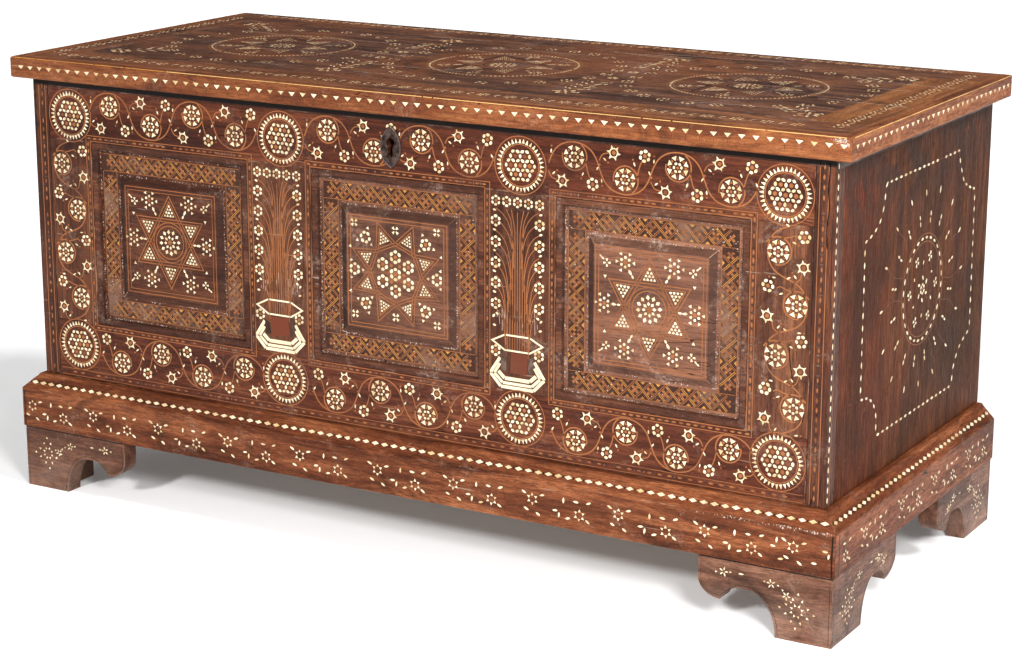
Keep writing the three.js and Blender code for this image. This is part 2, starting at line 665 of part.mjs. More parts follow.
// The leaf lies in the plane behind the case. Its axis is the group's X axis.
function hingeLeaf(height, knuckles, others) {
  const plate = [-KNUCKLE_RADIUS, -KNUCKLE_RADIUS + LEAF_THICKNESS];
  const leaf = slabFacingFront(leafShape(height), ...plate);
  const reliefs = others.map(([from, to]) =>
    cylinderAlong('x', KNUCKLE_RADIUS + KNUCKLE_GAP, from - KNUCKLE_GAP, to + KNUCKLE_GAP, [0, 0]));
  const barrels = knuckles.map(([from, to]) => cylinderAlong('x', KNUCKLE_RADIUS, from, to, [0, 0]));
  const reach = LEAF_WIDTH / 2 + LEAF_FLARE - NAIL_INSET;
  const rows = [height - NAIL_INSET, ...(height > LEAF_WIDTH ? [height / 2] : [])];
  const nails = rows.flatMap((z, row) => [-1, 1].map((side) =>
    nailHead(side * (reach - row * LEAF_FLARE), z, plate[1])));
  const bore = cylinderAlong('x', HINGE_PIN_RADIUS + HINGE_PIN_CLEARANCE, -LEAF_WIDTH, LEAF_WIDTH, [0, 0]);
  return cut(join(cut(leaf, ...reliefs), ...barrels, ...nails), bore);
}

function hinge(place, side) {
  const group = new THREE.Group();
  group.position.set(side * (halfWidth - HINGE_FROM_SIDE), hingeAxisY, caseTop);
  const half = LEAF_WIDTH / 2;
  const third = LEAF_WIDTH / 3;
  const outer = [[-half, -half + third - KNUCKLE_GAP], [half - third + KNUCKLE_GAP, half]];
  const middle = [[-third / 2, third / 2]];
  const caseLeaf = piece(`hinge_${place}_case_leaf`, hingeLeaf(CASE_LEAF_HEIGHT, outer, middle)
    .rotateY(Math.PI), iron);
  const lidLeaf = piece(`hinge_${place}_lid_leaf`, hingeLeaf(LID_LEAF_HEIGHT, middle, outer), iron);
  const length = half + JOINT_GAP;
  const shaft = cylinderAlong('x', HINGE_PIN_RADIUS, -length, length, [0, 0]);
  const heads = [-1, 1].map((end) => {
    const ends = [end * length, end * (length + PIN_HEAD_LENGTH)].sort((a, b) => a - b);
    return cylinderAlong('x', PIN_HEAD_RADIUS, ...ends, [0, 0]);
  });
  group.add(caseLeaf, lidLeaf, piece(`hinge_${place}_pin`, join(shaft, ...heads), iron));
  return group;
}

// Lock

// The pointed oval where two equal circles cross.
function escutcheonShape(inset) {
  const w = ESCUTCHEON_WIDTH / 2 - inset;
  const h = ESCUTCHEON_HEIGHT / 2 - inset;
  const radius = (h * h + w * w) / (2 * w);
  const halfAngle = Math.asin(h / radius);
  const shape = new THREE.Shape();
  shape.absarc(w - radius, 0, radius, -halfAngle, halfAngle, false);
  shape.absarc(radius - w, 0, radius, Math.PI - halfAngle, Math.PI + halfAngle, false);
  return shape;
}

function escutcheon() {
  const plate = new THREE.ExtrudeGeometry(escutcheonShape(ESCUTCHEON_BEVEL), {
    depth: ESCUTCHEON_THICKNESS - ESCUTCHEON_BEVEL,
    bevelThickness: ESCUTCHEON_BEVEL,
    bevelSize: ESCUTCHEON_BEVEL,
    bevelSegments: 2,
    curveSegments: 10,
  }).rotateX(Math.PI / 2);
  const backHalf = block(
    [-ESCUTCHEON_WIDTH, ESCUTCHEON_WIDTH],
    [0, ESCUTCHEON_BEVEL * 2],
    [-ESCUTCHEON_HEIGHT, ESCUTCHEON_HEIGHT],
  );
  const face = -ESCUTCHEON_THICKNESS;
  const pins = [-1, 1].map((end) => {
    const z = end * (ESCUTCHEON_HEIGHT / 2 - ESCUTCHEON_PIN_INSET);
    return cylinderAlong('y', ESCUTCHEON_PIN_RADIUS, face - ESCUTCHEON_BEVEL, face / 2, [0, z], 12);
  });
  const toCentre = (KEYHOLE_SLOT_LENGTH - KEYHOLE_RADIUS) / 2;
  const hole = slabFacingFront(keyholeShape(0), -2 * ESCUTCHEON_THICKNESS, ESCUTCHEON_THICKNESS)
    .translate(0, 0, toCentre);
  const plateWithPins = join(cut(plate, backHalf), ...pins);
  const mesh = piece('escutcheon', cut(plateWithPins, hole), iron);
  mesh.position.set(LOCK_X, frontFace - JOINT_GAP, keyholeZ - toCentre);
  return mesh;
}

// An open iron tray against the back of the top rail, with a slot for the staple and three
// pierced guides for the bolt.
function lockCase() {
  const half = LOCK_CASE_WIDTH / 2;
  const mouth = frameBack + JOINT_GAP;
  const back = mouth + LOCK_CASE_DEPTH;
  const plateUnder = caseTop - JOINT_GAP - STAPLE_PLATE_THICKNESS;
  const top = plateUnder - LOCK_CASE_DROP / 2;
  const outer = block([LOCK_X - half, LOCK_X + half], [mouth, back], [top - LOCK_CASE_HEIGHT, top]);
  const hollow = block(
    [LOCK_X - half + LOCK_CASE_WALL, LOCK_X + half - LOCK_CASE_WALL],
    [mouth - 1, back - LOCK_CASE_WALL],
    [top - LOCK_CASE_HEIGHT + LOCK_CASE_WALL, top - LOCK_CASE_WALL],
  );
  const slotHalf = STAPLE_WIDTH / 2 + STAPLE_SLOT_CLEARANCE;
  const slotBack = stapleY + STAPLE_EYE_DEPTH / 2 + STAPLE_LEG + STAPLE_SLOT_CLEARANCE;
  const slotTop = [top - 2 * LOCK_CASE_WALL, top + 1];
  const slot = block([stapleX - slotHalf, stapleX + slotHalf], [mouth - 1, slotBack], slotTop);
  const guideStarts = [
    boltRestX - BOLT_TRAVEL - GUIDE_WIDTH / 2,
    stapleX + slotHalf + GUIDE_WALL,
    talonRestX + BOLT_TALON_WIDTH + GUIDE_WALL,
  ];
  const halfBolt = BOLT_HEIGHT / 2 + BOLT_CLEARANCE;
  const passageY = [stapleY - BOLT_THICKNESS / 2 - BOLT_CLEARANCE, stapleY + BOLT_THICKNESS / 2 + BOLT_CLEARANCE];
  const guides = guideStarts.map((x) => block(
    [x, x + GUIDE_WIDTH],
    [passageY[0] - GUIDE_WALL, back - LOCK_CASE_WALL / 2],
    [boltZ - halfBolt - GUIDE_WALL, boltZ + halfBolt + GUIDE_WALL],
  ));
  const halfPassage = half - 2 * LOCK_CASE_WALL;
  const passageZ = [boltZ - halfBolt, boltZ + halfBolt];
  const passage = block([LOCK_X - halfPassage, LOCK_X + halfPassage], passageY, passageZ);
  return piece('lock_case', cut(join(cut(outer, hollow, slot), ...guides), passage), iron);
}

// The key turns under the bolt, and its bit pushes the talon from one side of the keyhole to the other.
function lockBolt() {
  const talonStart = talonRestX - boltRestX;
  const bar = block(
    [0, BOLT_LENGTH],
    [-BOLT_THICKNESS / 2, BOLT_THICKNESS / 2],
    [-BOLT_HEIGHT / 2, BOLT_HEIGHT / 2],
  );
  const talon = block(
    [talonStart, talonStart + BOLT_TALON_WIDTH],
    [-BOLT_THICKNESS / 2, BOLT_THICKNESS / 2],
    [-BOLT_HEIGHT / 2 - BOLT_TALON_DROP, 0],
  );
  const mesh = piece('lock_bolt', join(bar, talon), iron);
  mesh.position.set(boltRestX, stapleY, boltZ);
  return mesh;
}

// A plate under the lid with an eye that drops into the lock. The bolt shoots through the eye.
function lockStaple() {
  const top = caseTop - JOINT_GAP;
  const plateUnder = top - STAPLE_PLATE_THICKNESS;
  const halfEye = STAPLE_EYE_DEPTH / 2;
  const front = stapleY - halfEye - STAPLE_LEG;
  const back = stapleY + halfEye + STAPLE_LEG;
  const foot = boltZ - STAPLE_EYE_HEIGHT / 2 - STAPLE_FOOT;
  const halfPlate = STAPLE_PLATE_WIDTH / 2;
  const plateDepth = [front, front + STAPLE_PLATE_DEPTH];
  const plate = block([stapleX - halfPlate, stapleX + halfPlate], plateDepth, [plateUnder, top]);
  const halfStaple = STAPLE_WIDTH / 2;
  const shankHeight = [foot, top - STAPLE_PLATE_THICKNESS / 2];
  const shank = block([stapleX - halfStaple, stapleX + halfStaple], [front, back], shankHeight);
  const eye = block(
    [stapleX - STAPLE_WIDTH, stapleX + STAPLE_WIDTH],
    [stapleY - halfEye, stapleY + halfEye],
    [boltZ - STAPLE_EYE_HEIGHT / 2, boltZ + STAPLE_EYE_HEIGHT / 2],
  );
  return piece('lock_staple', cut(join(plate, shank), eye), iron);
}

const chest = new THREE.Group();
chest.add(
  feet(),
  plinth(),
  caseBoards(),
  frontFrame(),
  lid(),
  hinge('left', -1),
  hinge('right', 1),
  escutcheon(),
  lockCase(),
  lockBolt(),
  lockStaple(),
);

// The footprint runs from the plinth's or the lid's front edge to the back of the knuckles.
const frontReach = halfDepth + Math.max(PLINTH_PROJECTION, LID_FRONT_OVERHANG);
const backReach = hingeAxisY + KNUCKLE_RADIUS;
chest.position.y = (frontReach - backReach) / 2;

export default chest;
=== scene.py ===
"""Looks of an inlaid walnut wedding chest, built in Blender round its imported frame.

Lengths are in millimetres, along the chest's own axes, and become metres where a mesh is made.
Ornament is drawn flat on a face of the chest, as arrays of corners, and laid in as thin pieces.
"""
import logging
import math
from dataclasses import dataclass, field
from enum import Enum
from itertools import pairwise
from typing import Callable, Iterable

import bmesh
import bpy
import numpy as np
from mathutils import Matrix, Vector


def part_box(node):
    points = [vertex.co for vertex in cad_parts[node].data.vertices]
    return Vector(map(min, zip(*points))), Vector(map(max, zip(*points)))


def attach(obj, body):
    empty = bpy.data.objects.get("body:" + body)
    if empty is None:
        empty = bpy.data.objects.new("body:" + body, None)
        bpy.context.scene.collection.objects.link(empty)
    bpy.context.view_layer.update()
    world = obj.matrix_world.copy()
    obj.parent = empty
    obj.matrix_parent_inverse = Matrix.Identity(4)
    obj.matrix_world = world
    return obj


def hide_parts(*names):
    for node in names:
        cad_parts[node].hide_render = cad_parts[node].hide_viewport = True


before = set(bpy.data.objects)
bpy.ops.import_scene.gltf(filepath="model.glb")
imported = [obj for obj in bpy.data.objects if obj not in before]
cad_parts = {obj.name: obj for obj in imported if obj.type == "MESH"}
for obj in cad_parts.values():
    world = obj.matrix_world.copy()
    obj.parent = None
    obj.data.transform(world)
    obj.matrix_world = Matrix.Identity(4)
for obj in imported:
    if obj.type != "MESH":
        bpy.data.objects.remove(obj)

LOG = logging.getLogger("chest")
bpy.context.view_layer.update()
MM = 0.001
TAU = math.tau
SEED = 1740

Points = np.ndarray
Pair = tuple[float, float]
Triple = tuple[float, float, float]
Material = bpy.types.Material
Socket = bpy.types.NodeSocket

# The chest's ends: the name, the corner of a box that lies there and the sign of x
ENDS = (("right", 1, 1), ("left", 0, -1))
SIDES = ("left", "right")


class Stuff(Enum):
    """What an inlaid piece is cut from, or the dark stuff of a painted shadow strip."""

    BONE = "bone"
    FRUIT = "fruitwood"
    BOX = "boxwood"
    RED = "redwood"
    # Dark bog oak, also laid as painted shadow strips under the lid.
    BOG = "bog_oak"
    DUST = "dust"
    # Near-black pitch in cracks and joints, also laid as painted shadow under the lid and the plinth.
    PITCH = "pitch"
    AGED = "aged_bone"
    STRAW = "straw_boxwood"
    BED = "plait_bed"


BONE, FRUIT, BOX, RED, BOG, DUST, PITCH, AGED, STRAW, BED = Stuff


class Grain(Enum):
    """The direction in which a board's fibres run."""

    X = 0
    Y = 1
    Z = 2


@dataclass(frozen=True)
class Face:
    """A flat face that carries inlay: its origin in millimetres and its two drawing axes."""

    origin: Triple
    across: Triple
    up: Triple

    def place(self, drawn: Points, height: Points | float) -> Points:
        """Puts drawn points in space: origin + a * across + b * up + height * outwards.

        Args:
            drawn: Flat points (..., 2) in millimetres.
            height: Height over the face, one number or one per point.

        Returns:
            Points (..., 3) in metres.
        """
        across, up = np.array(self.across, float), np.array(self.up, float)
        out = np.cross(across, up)
        lift = np.broadcast_to(np.asarray(height, float), drawn.shape[:-1])[..., None]
        flat = drawn[..., :1] * across + drawn[..., 1:] * up
        return (np.array(self.origin, float) + flat + lift * out) * MM

    @classmethod
    def front(cls, y: float, z: float = 0.0) -> "Face":
        """A face that looks to the front, drawn along x and z."""
        return cls((0, y, z), (1, 0, 0), (0, 0, 1))

    @classmethod
    def end(cls, x: float, way: int, y: float = 0.0, z: float = 0.0) -> "Face":
        """A face that looks to the right, or to the left where way is -1, drawn along y and z."""
        return cls((x, y, z), (0, way, 0), (0, 0, 1))


def scene_object(name: str, data: bpy.types.ID) -> bpy.types.Object:
    """Makes an object at the origin and links it to the scene."""
    made = bpy.data.objects.new(name, data)
    bpy.context.scene.collection.objects.link(made)
    return made


def mesh_piece(name: str, points: Points, faces: list, **marks: Points) -> bpy.types.Object:
    """Makes a mesh object at the origin.

    Args:
        name: The object's name.
        points: Vertices (n, 3) in metres.
        faces: Lists of vertex numbers.
        **marks: Attributes by name, each a number from 0 to 1 for every vertex.

    Returns:
        The object, linked to the scene.
    """
    mesh = bpy.data.meshes.new(name)
    mesh.from_pydata(points.reshape(-1, 3).tolist(), [], faces)
    for mark, values in marks.items():
        mesh.attributes.new(mark, "FLOAT", "POINT").data.foreach_set("value", np.asarray(values, np.float32))
    mesh.update()
    return scene_object(name, mesh)


def quads(here: Points, there: Points) -> Points:
    """Faces (m, 4) between sections, from the vertex numbers (n, k) of each and of the next one."""
    return np.stack([here, there, np.roll(there, -1, 1), np.roll(here, -1, 1)], 2).reshape(-1, 4)


def finish_piece(piece: bpy.types.Object, body: str, material: Material) -> None:
    """Finishes a piece and reports it.

    Args:
        piece: The piece.
        body: The body that carries it.
        material: Its only material.
    """
    piece.data.materials.clear()
    piece.data.materials.append(material)
    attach(piece, body)
    LOG.info("%s: %d faces on %s", piece.name, len(piece.data.polygons), body)


def level(node: str, corner: int, axis: int) -> float:
    """One side of a node's box in millimetres: corner 0 is its lowest and 1 its highest."""
    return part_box(node)[corner][axis] / MM


# Flat outlines, anticlockwise, with +x pointing away from the middle of a motif


def heading(angle: Points | float) -> Points:
    """Unit vectors at angles in radians: (cos, sin)."""
    return np.stack([np.cos(angle), np.sin(angle)], -1)


def turned(points: Points, angle: Points | float) -> Points:
    """Points (..., 2) turned about the origin by angles in radians."""
    c, s = np.cos(angle), np.sin(angle)
    x, y = points[..., 0], points[..., 1]
    return np.stack([c * x - s * y, s * x + c * y], -1)


def around(count: int, first: float = 0.0) -> Points:
    """Evenly spaced angles in radians, the first one given in degrees."""
    return np.radians(first) + np.arange(count) * TAU / count


def polygon(sides: int, radius: float, turn: float = 0.0) -> Points:
    """A regular polygon: radius * (cos, sin) of evenly spaced angles."""
    return radius * heading(turn + around(sides))


def lozenge(length: float, width: float) -> Points:
    """Four points on the two axes, length along x and width along y."""
    return np.array([[length, 0], [0, width], [-length, 0], [0, -width]]) / 2


def barrel(length: float, width: float, ends: float = 0.4) -> Points:
    """A lozenge with its two ends cut square, which reads as a plump oval at a distance."""
    x, y = length / 2, width / 2
    return np.array([[x, -y * ends], [x, y * ends], [0, y], [-x, y * ends], [-x, -y * ends], [0, -y]])


def wedge(inner: float, outer: float, length: float) -> Points:
    """A four-sided tooth along x, inner wide at its start and outer wide at its end."""
    return np.array([[0, -inner / 2], [length, -outer / 2], [length, outer / 2], [0, inner / 2]])


def drop(width: float, tip: float, base: float = 0.0) -> Points:
    """A triangle with its base across x and its tip on it."""
    return np.array([[base, -width / 2], [tip, 0], [base, width / 2]])


def lens(length: float, width: float) -> Points:
    """A leaf sliver, pointed at both ends."""
    x, y, z = length / 2, width / 2, length / 5
    return np.array([[-x, 0], [-z, -y], [z, -y], [x, 0], [z, y], [-z, y]])


def smooth(points: Iterable, per_span: int = 7) -> Points:
    """A curve through given points.

    Each span is the Catmull-Rom cubic of its two points and their neighbours.

    Args:
        points: Points (n, 2).
        per_span: How many points each span gets.

    Returns:
        The curve's points.
    """
    p = np.array(list(points), float)
    p = np.vstack([2 * p[0] - p[1], p, 2 * p[-1] - p[-2]])
    a, b, c, d = p[:-3], p[1:-2], p[2:-1], p[3:]
    t = (np.arange(per_span) / per_span)[None, :, None]
    a, b, c, d = (q[:, None, :] for q in (a, b, c, d))
    curve = b + 0.5 * t * (c - a + t * (2 * a - 5 * b + 4 * c - d + t * (3 * (b - c) + d - a)))
    return np.vstack([curve.reshape(-1, 2), p[-2]])


def arc(centre: Iterable, radius: float, start: float, end: float, count: int = 40) -> Points:
    """Points of a circle from one angle in degrees to another."""
    return np.array(centre, float) + radius * heading(np.radians(np.linspace(start, end, count)))


def circle(centre: Iterable, radius: float, count: int = 56) -> Points:
    """A closed circle's points, its first one not repeated."""
    return arc(centre, radius, 0, 360, count + 1)[:-1]


def rectangle(centre: Iterable, half_x: float, half_y: float) -> Points:
    """A rectangle's four corners round a centre."""
    return np.array(centre, float) + np.array([[-1, -1], [1, -1], [1, 1], [-1, 1]]) * [half_x, half_y]


def along(path: Points, pitch: float, closed: bool = False, offset: float = 0.5) -> tuple[Points, Points]:
    """Even steps along a path.

    Args:
        path: Points (n, 2).
        pitch: About how far apart the steps are. It is rounded so that they fill the path.
        closed: True where the last point joins the first.
        offset: Where in its step each place is, from 0 to 1.

    Returns:
        The places (m, 2) and the path's direction at each, in radians.
    """
    line = np.asarray([*path, path[0]] if closed else path, float)
    step = np.diff(line, axis=0)
    length = np.concatenate([[0], np.cumsum(np.hypot(*step.T))])
    count = max(1, round(length[-1] / pitch))
    at = (np.arange(count) + offset) * length[-1] / count
    places = np.stack([np.interp(at, length, line[:, 0]), np.interp(at, length, line[:, 1])], 1)
    span = np.clip(np.searchsorted(length, at, side="right") - 1, 0, len(step) - 1)
    return places, np.arctan2(step[span, 1], step[span, 0])


@dataclass
class Motif:
    """A small figure of inlaid chips round its own middle: outlines with their places and turns."""

    chips: list[tuple[Stuff, Points, Points, Points]] = field(default_factory=list)

    def put(self, stuff: Stuff, outline: Points, at: Iterable, turn: Iterable | float = 0.0) -> "Motif":
        """Adds one outline at several places.

        Args:
            stuff: What the chips are cut from.
            outline: The chip.
            at: One place or several.
            turn: One angle in radians, or one for each place.

        Returns:
            The motif itself.
        """
        at = np.atleast_2d(np.array(at, float))
        self.chips.append((stuff, outline, at, np.broadcast_to(np.asarray(turn, float), (len(at),))))
        return self

    def ring(self, stuff: Stuff, outline: Points, count: int, radius: float,
             first: float = 0.0, askew: float = 0.0) -> "Motif":
        """Adds one outline evenly round a circle, its x axis pointing outwards.

        Args:
            stuff: What the chips are cut from.
            outline: The chip.
            count: How many there are.
            radius: The circle's radius.
            first: The first one's angle in degrees.
            askew: How far each is turned from pointing outwards, in degrees.

        Returns:
            The motif itself.
        """
        angle = around(count, first)
        return self.put(stuff, outline, radius * heading(angle), angle + np.radians(askew))


@dataclass
class Layer:
    """What has been laid of one stuff: vertices, their tones and the faces between them."""

    points: list[Points] = field(default_factory=list)
    tones: list[Points] = field(default_factory=list)
    faces: list[list[int]] = field(default_factory=list)
    count: int = 0

    def add(self, points: Points, tones: Points, *faces: Points) -> None:
        """Adds closed pieces.

        Args:
            points: Vertices (..., 3).
            tones: A number from 0 to 1 for each vertex.
            *faces: Arrays of vertex numbers that count from the first vertex given here.
        """
        for rows in faces:
            self.faces += (rows + self.count).tolist()
        self.points.append(points.reshape(-1, 3))
        self.tones.append(tones)
        self.count += len(tones)


class Inlay:
    """Chips and stringing let into one face. Each stuff becomes one mesh."""

    SINK = 0.45
    EASE = 0.22
    TURN_SLIP = 0.035
    SIZE_SLIP = 0.035
    PLACE_SLIP = 0.12
    CUT_SLIP = 0.03
    TILT = 0.012

    def __init__(self, name: str, face: Face, body: str = "case", rise: float = 0.16, seed: int = 0,
                 aged: bool = False):
        """Starts an empty sheet of inlay.

        Args:
            name: The pieces' names start with it.
            face: Where it lies.
            body: The body that carries it.
            rise: How far a chip stands over the face, in millimetres.
            seed: Of this sheet's small irregularities.
            aged: True where the bone has yellowed and gone dull.
        """
        self.name, self.face, self.body, self.rise, self.aged = name, face, body, rise, aged
        self.random = np.random.default_rng(SEED + seed)
        self.layers = {stuff: Layer() for stuff in Stuff}

    def chips(self, stuff: Stuff, outline: Points, at: Points, turn: Points | float = 0.0,
              size: Points | float = 1.0, lost: float = 0.0) -> None:
        """Lays one outline at many places.

        A chip is a flat prism: its foot lies below the face at the full outline, its top over it,
        drawn in a little towards its middle, tilted and raised by a hair of its own.

        Args:
            stuff: What the chips are cut from.
            outline: The chip, (k, 2).
            at: Places (m, 2).
            turn: Angles in radians.
            size: Scales.
            lost: The share of chips that fell out long ago.
        """
        at = np.atleast_2d(np.asarray(at, float))
        turn, size = (np.broadcast_to(np.asarray(each, float), (len(at),)) for each in (turn, size))
        kept = self.random.random(len(at)) >= lost
        at, turn, size = at[kept], turn[kept], size[kept]
        m, k = len(at), len(outline)
        if not m:
            return
        turn = turn + self.random.normal(0, self.TURN_SLIP, m)
        size = size * self.random.normal(1, self.SIZE_SLIP, m)
        at = at + self.random.normal(0, self.PLACE_SLIP, (m, 2))
        shape = outline[None] * (1 + self.random.normal(0, self.CUT_SLIP, (m, k, 2)))
        middle = shape.mean(1, keepdims=True)
        reach = np.maximum(np.linalg.norm(shape - middle, axis=2, keepdims=True), 1e-6)
        top = middle + (shape - middle) * np.maximum(1 - self.EASE / reach, 0.4)
        tilt = self.random.normal(0, self.TILT, (m, 1, 2))
        lift = self.rise * self.random.uniform(0.5, 1.3, (m, 1)) + (top * tilt).sum(2)
        flat = turned(np.concatenate([shape, top], 1), turn[:, None])
        solid = self.face.place(at[:, None] + size[:, None, None] * flat,
                                np.concatenate([np.full((m, k), -self.SINK), lift], 1))
        foot = np.arange(m)[:, None] * 2 * k + np.arange(k)
        head = foot + k
        sides = np.stack([foot, np.roll(foot, -1, 1), np.roll(head, -1, 1), head], 2).reshape(-1, 4)
        tones = np.repeat(self.random.random(m), 2 * k)
        self.layers[stuff].add(solid, tones, head, foot[:, ::-1], sides)

    def string(self, stuff: Stuff, path: Points, width: float, closed: bool = False) -> None:
        """Lets a thin line of wood in along a path.

        The section is a low trapezium, carried along the path on the mitre of each corner:
        place = path + side * mitre / cos(half the corner).

        Args:
            stuff: What the line is cut from.
            path: Points (n, 2).
            width: The line's width.
            closed: True for a loop.
        """
        path = np.asarray(path, float)
        n = len(path)
        before = np.roll(path, 1, 0) if closed else np.vstack([2 * path[0] - path[1], path[:-1]])
        after = np.roll(path, -1, 0) if closed else np.vstack([path[1:], 2 * path[-1] - path[-2]])
        d0, d1 = path - before, after - path
        n0 = np.stack([d0[:, 1], -d0[:, 0]], 1) / np.maximum(np.linalg.norm(d0, axis=1, keepdims=True), 1e-9)
        n1 = np.stack([d1[:, 1], -d1[:, 0]], 1) / np.maximum(np.linalg.norm(d1, axis=1, keepdims=True), 1e-9)
        side = n0 + n1
        side /= np.maximum((side * side).sum(1, keepdims=True) / 2, 0.3)
        half = width / 2
        across = np.array([half, half - 0.12, -half + 0.12, -half])
        height = np.array([-self.SINK, self.rise * 0.6, self.rise * 0.6, -self.SINK])
        flat = path[:, None] + across[None, :, None] * side[:, None]
        here = np.arange(n)[:, None] * 4 + np.arange(4)
        there = np.roll(here, -1, 0)
        caps = here[[0, -1]]
        caps[1] = caps[1, ::-1]
        if not closed:
            here, there = here[:-1], there[:-1]
        tones = np.full(n * 4, 0.1 + 0.5 * self.random.random())
        self.layers[stuff].add(self.face.place(flat, height[None]), tones, quads(here, there),
                               caps[:0] if closed else caps)

    def motif(self, motif: Motif, centres: Iterable, turns: Iterable | float = 0.0, size: float = 1.0,
              lost: float = 0.0) -> None:
        """Lays a motif at several places.

        Args:
            motif: The motif.
            centres: The places.
            turns: One angle in radians, or one for each place.
            size: The scale of all of them.
            lost: The share of chips that fell out long ago.
        """
        centres = np.atleast_2d(np.array(list(centres), float))
        turns = np.broadcast_to(np.asarray(turns, float), (len(centres),))[:, None]
        for stuff, outline, at, own in motif.chips:
            places = centres[:, None] + turned(at * size, turns)
            self.chips(stuff, outline, places.reshape(-1, 2), (turns + own).ravel(), size, lost)

    def build(self, finishes: "Finishes") -> None:
        """Makes one mesh for each stuff that was laid."""
        for stuff, layer in self.layers.items():
            if not layer.points:
                continue
            piece = mesh_piece(f"{self.name}_{stuff.value}", np.vstack(layer.points), layer.faces,
                               tone=np.concatenate(layer.tones))
            shown = AGED if self.aged and stuff is BONE else stuff
            finish_piece(piece, self.body, finishes.inlay[shown])


class Motifs:
    """The figures that the ornament repeats, drawn once."""

    def __init__(self) -> None:
        """Draws every motif round the origin."""
        self.rosette = self._bloom(barrel(3.7, 5.5, 0.45), 5.7, 2.6)
        self.star = (Motif().ring(BONE, drop(4.6, 3.9, -1.7), 6, 5.9).ring(BONE, barrel(2.0, 2.6), 6, 5.2, 30)
                     .put(FRUIT, polygon(6, 3.0, TAU / 12), [0, 0]))
        self.flower = (self._bloom(barrel(3.4, 4.9, 0.5), 5.4, 2.3, first=0)
                       .ring(BONE, np.array([[1.6, -4.3], [1.6, 4.3], [-4.6, 0]]), 8, 13.0, 22.5)
                       .ring(FRUIT, drop(4.4, 2.6, -2.0), 8, 11.6))
        self.roundel = self._roundel()
        kite = np.array([[4.2, 0], [0.4, 2.9], [-3.2, 0], [0.4, -2.9]])
        self.dozen = (Motif().ring(BONE, kite, 12, 15.4).ring(BONE, 0.84 * kite, 8, 7.4)
                      .put(FRUIT, polygon(8, 4.2), [0, 0]))
        self.pyramid = self._pyramid()
        self.stalked = (self._bloom(barrel(4.0, 4.4, 0.5), 6.4, 3.2)
                        .ring(BONE, np.array([[-2.3, 0], [2.0, -2.7], [2.0, 2.7]]), 6, 12.2, 60)
                        .put(BONE, barrel(5.4, 3.6), [[15.5, 0], [21.2, 0]]))
        self.cross = Motif().ring(BONE, wedge(1.6, 4.4, 4.6), 4, 1.6, 45)
        self.sprig = (Motif().ring(BONE, wedge(1.4, 4.0, 4.4), 4, 1.6, 45)
                      .put(BONE, barrel(4.8, 3.2), [[9.0, 0], [13.6, 0]]))
        self.plinth_star = Motif().ring(BONE, drop(4.4, 2.6, -1.8), 6, 6.6, 30)
        self.ray_flower = (Motif().ring(BONE, drop(3.4, 4.2), 8, 6.5, 22.5)
                           .ring(BONE, drop(3.6, 4.2), 8, 15.0, 22.5).ring(BONE, drop(3.4, 3.8), 4, 22.5))
        self.tuft = (Motif().ring(BONE, barrel(5.0, 2.4, 0.3), 5, 3.9, -72)
                     .put(BONE, drop(3.2, 3.6), [[8.0, 0]]).put(BONE, drop(3.0, 3.4), [[-11.5, -1.0]]))
        self.leaf = Motif().put(BONE, barrel(6.6, 3.2, 0.3), [0, 0]).put(FRUIT, polygon(6, 1.9), [7.5, 0])
        self.sheaf = self._sheaf()
        self.lid_flower = (Motif().ring(BONE, barrel(4.4, 2.6, 0.5), 6, 6.4, 30)
                           .ring(FRUIT, polygon(5, 1.7), 6, 6.3).put(BONE, polygon(6, 1.5), [0, 0]))
        self.floret = self._bloom(barrel(4.6, 2.7, 0.4), 6.4, 2.2, askew=62)
        self.lid_star = (Motif().ring(BONE, barrel(7.2, 3.6, 0.35), 14, 17.0, 0, 24)
                         .ring(BONE, barrel(5.4, 3.2, 0.35), 8, 8.4, 15).put(FRUIT, polygon(6, 2.6), [0, 0]))
        self.stalked_floret = (Motif().put(BONE, lens(13.0, 1.9), [[-18.5, 0]])
                               .ring(BONE, barrel(5.8, 2.3, 0.35), 7, 6.6, 12)
                               .put(FRUIT, polygon(6, 2.3), [0, 0]))

    @staticmethod
    def _bloom(petal: Points, radius: float, heart: float, first: float = 30.0, askew: float = 0.0) -> Motif:
        """Six bone petals round a fruitwood heart.

        Args:
            petal: A petal's outline.
            radius: From the middle to each petal's own middle.
            heart: The heart's radius.
            first: The first petal's angle in degrees.
            askew: How far each petal is turned from pointing outwards, in degrees.

        Returns:
            The bloom.
        """
        return (Motif().ring(BONE, petal, 6, radius, first, askew)
                .put(FRUIT, polygon(6, heart), [0, 0]))

    @staticmethod
    def _roundel() -> Motif:
        """Seven honeycomb cells with a bone lozenge on each cell wall, inside a ring of teeth.

        The walls' middles lie half a pitch from each cell's centre, at 0, 60, 120 ... degrees, and
        walls that two cells share are kept once.
        """
        pitch, teeth = 14.3, 36
        cells = np.vstack([[0, 0], polygon(6, pitch)])
        walls = (cells[:, None] + polygon(6, pitch / 2)[None]).reshape(-1, 2)
        turns = np.tile(around(6), len(cells))
        kept = np.unique(np.round(walls, 2), axis=0, return_index=True)[1]
        return (Motif().put(BONE, barrel(4.1, 6.7, 0.42), walls[kept], turns[kept])
                .put(FRUIT, polygon(6, 3.3, TAU / 12), cells)
                .ring(BONE, wedge(4.5, 0.7, 6.4), teeth, 29.6))

    @staticmethod
    def _sheaf() -> Motif:
        """Rows of one, two, three ... slivers that lean towards the tip at +x."""
        rows, step, pitch = 6, 5.8, 5.7
        motif = Motif()
        for row in range(rows):
            for off in np.arange(row + 1) - row / 2:
                at = [step * ((rows - 1) / 2 - row), pitch * off]
                motif.put(BONE, barrel(6.2, 2.1, 0.25), at, -0.2 * off)
        return motif

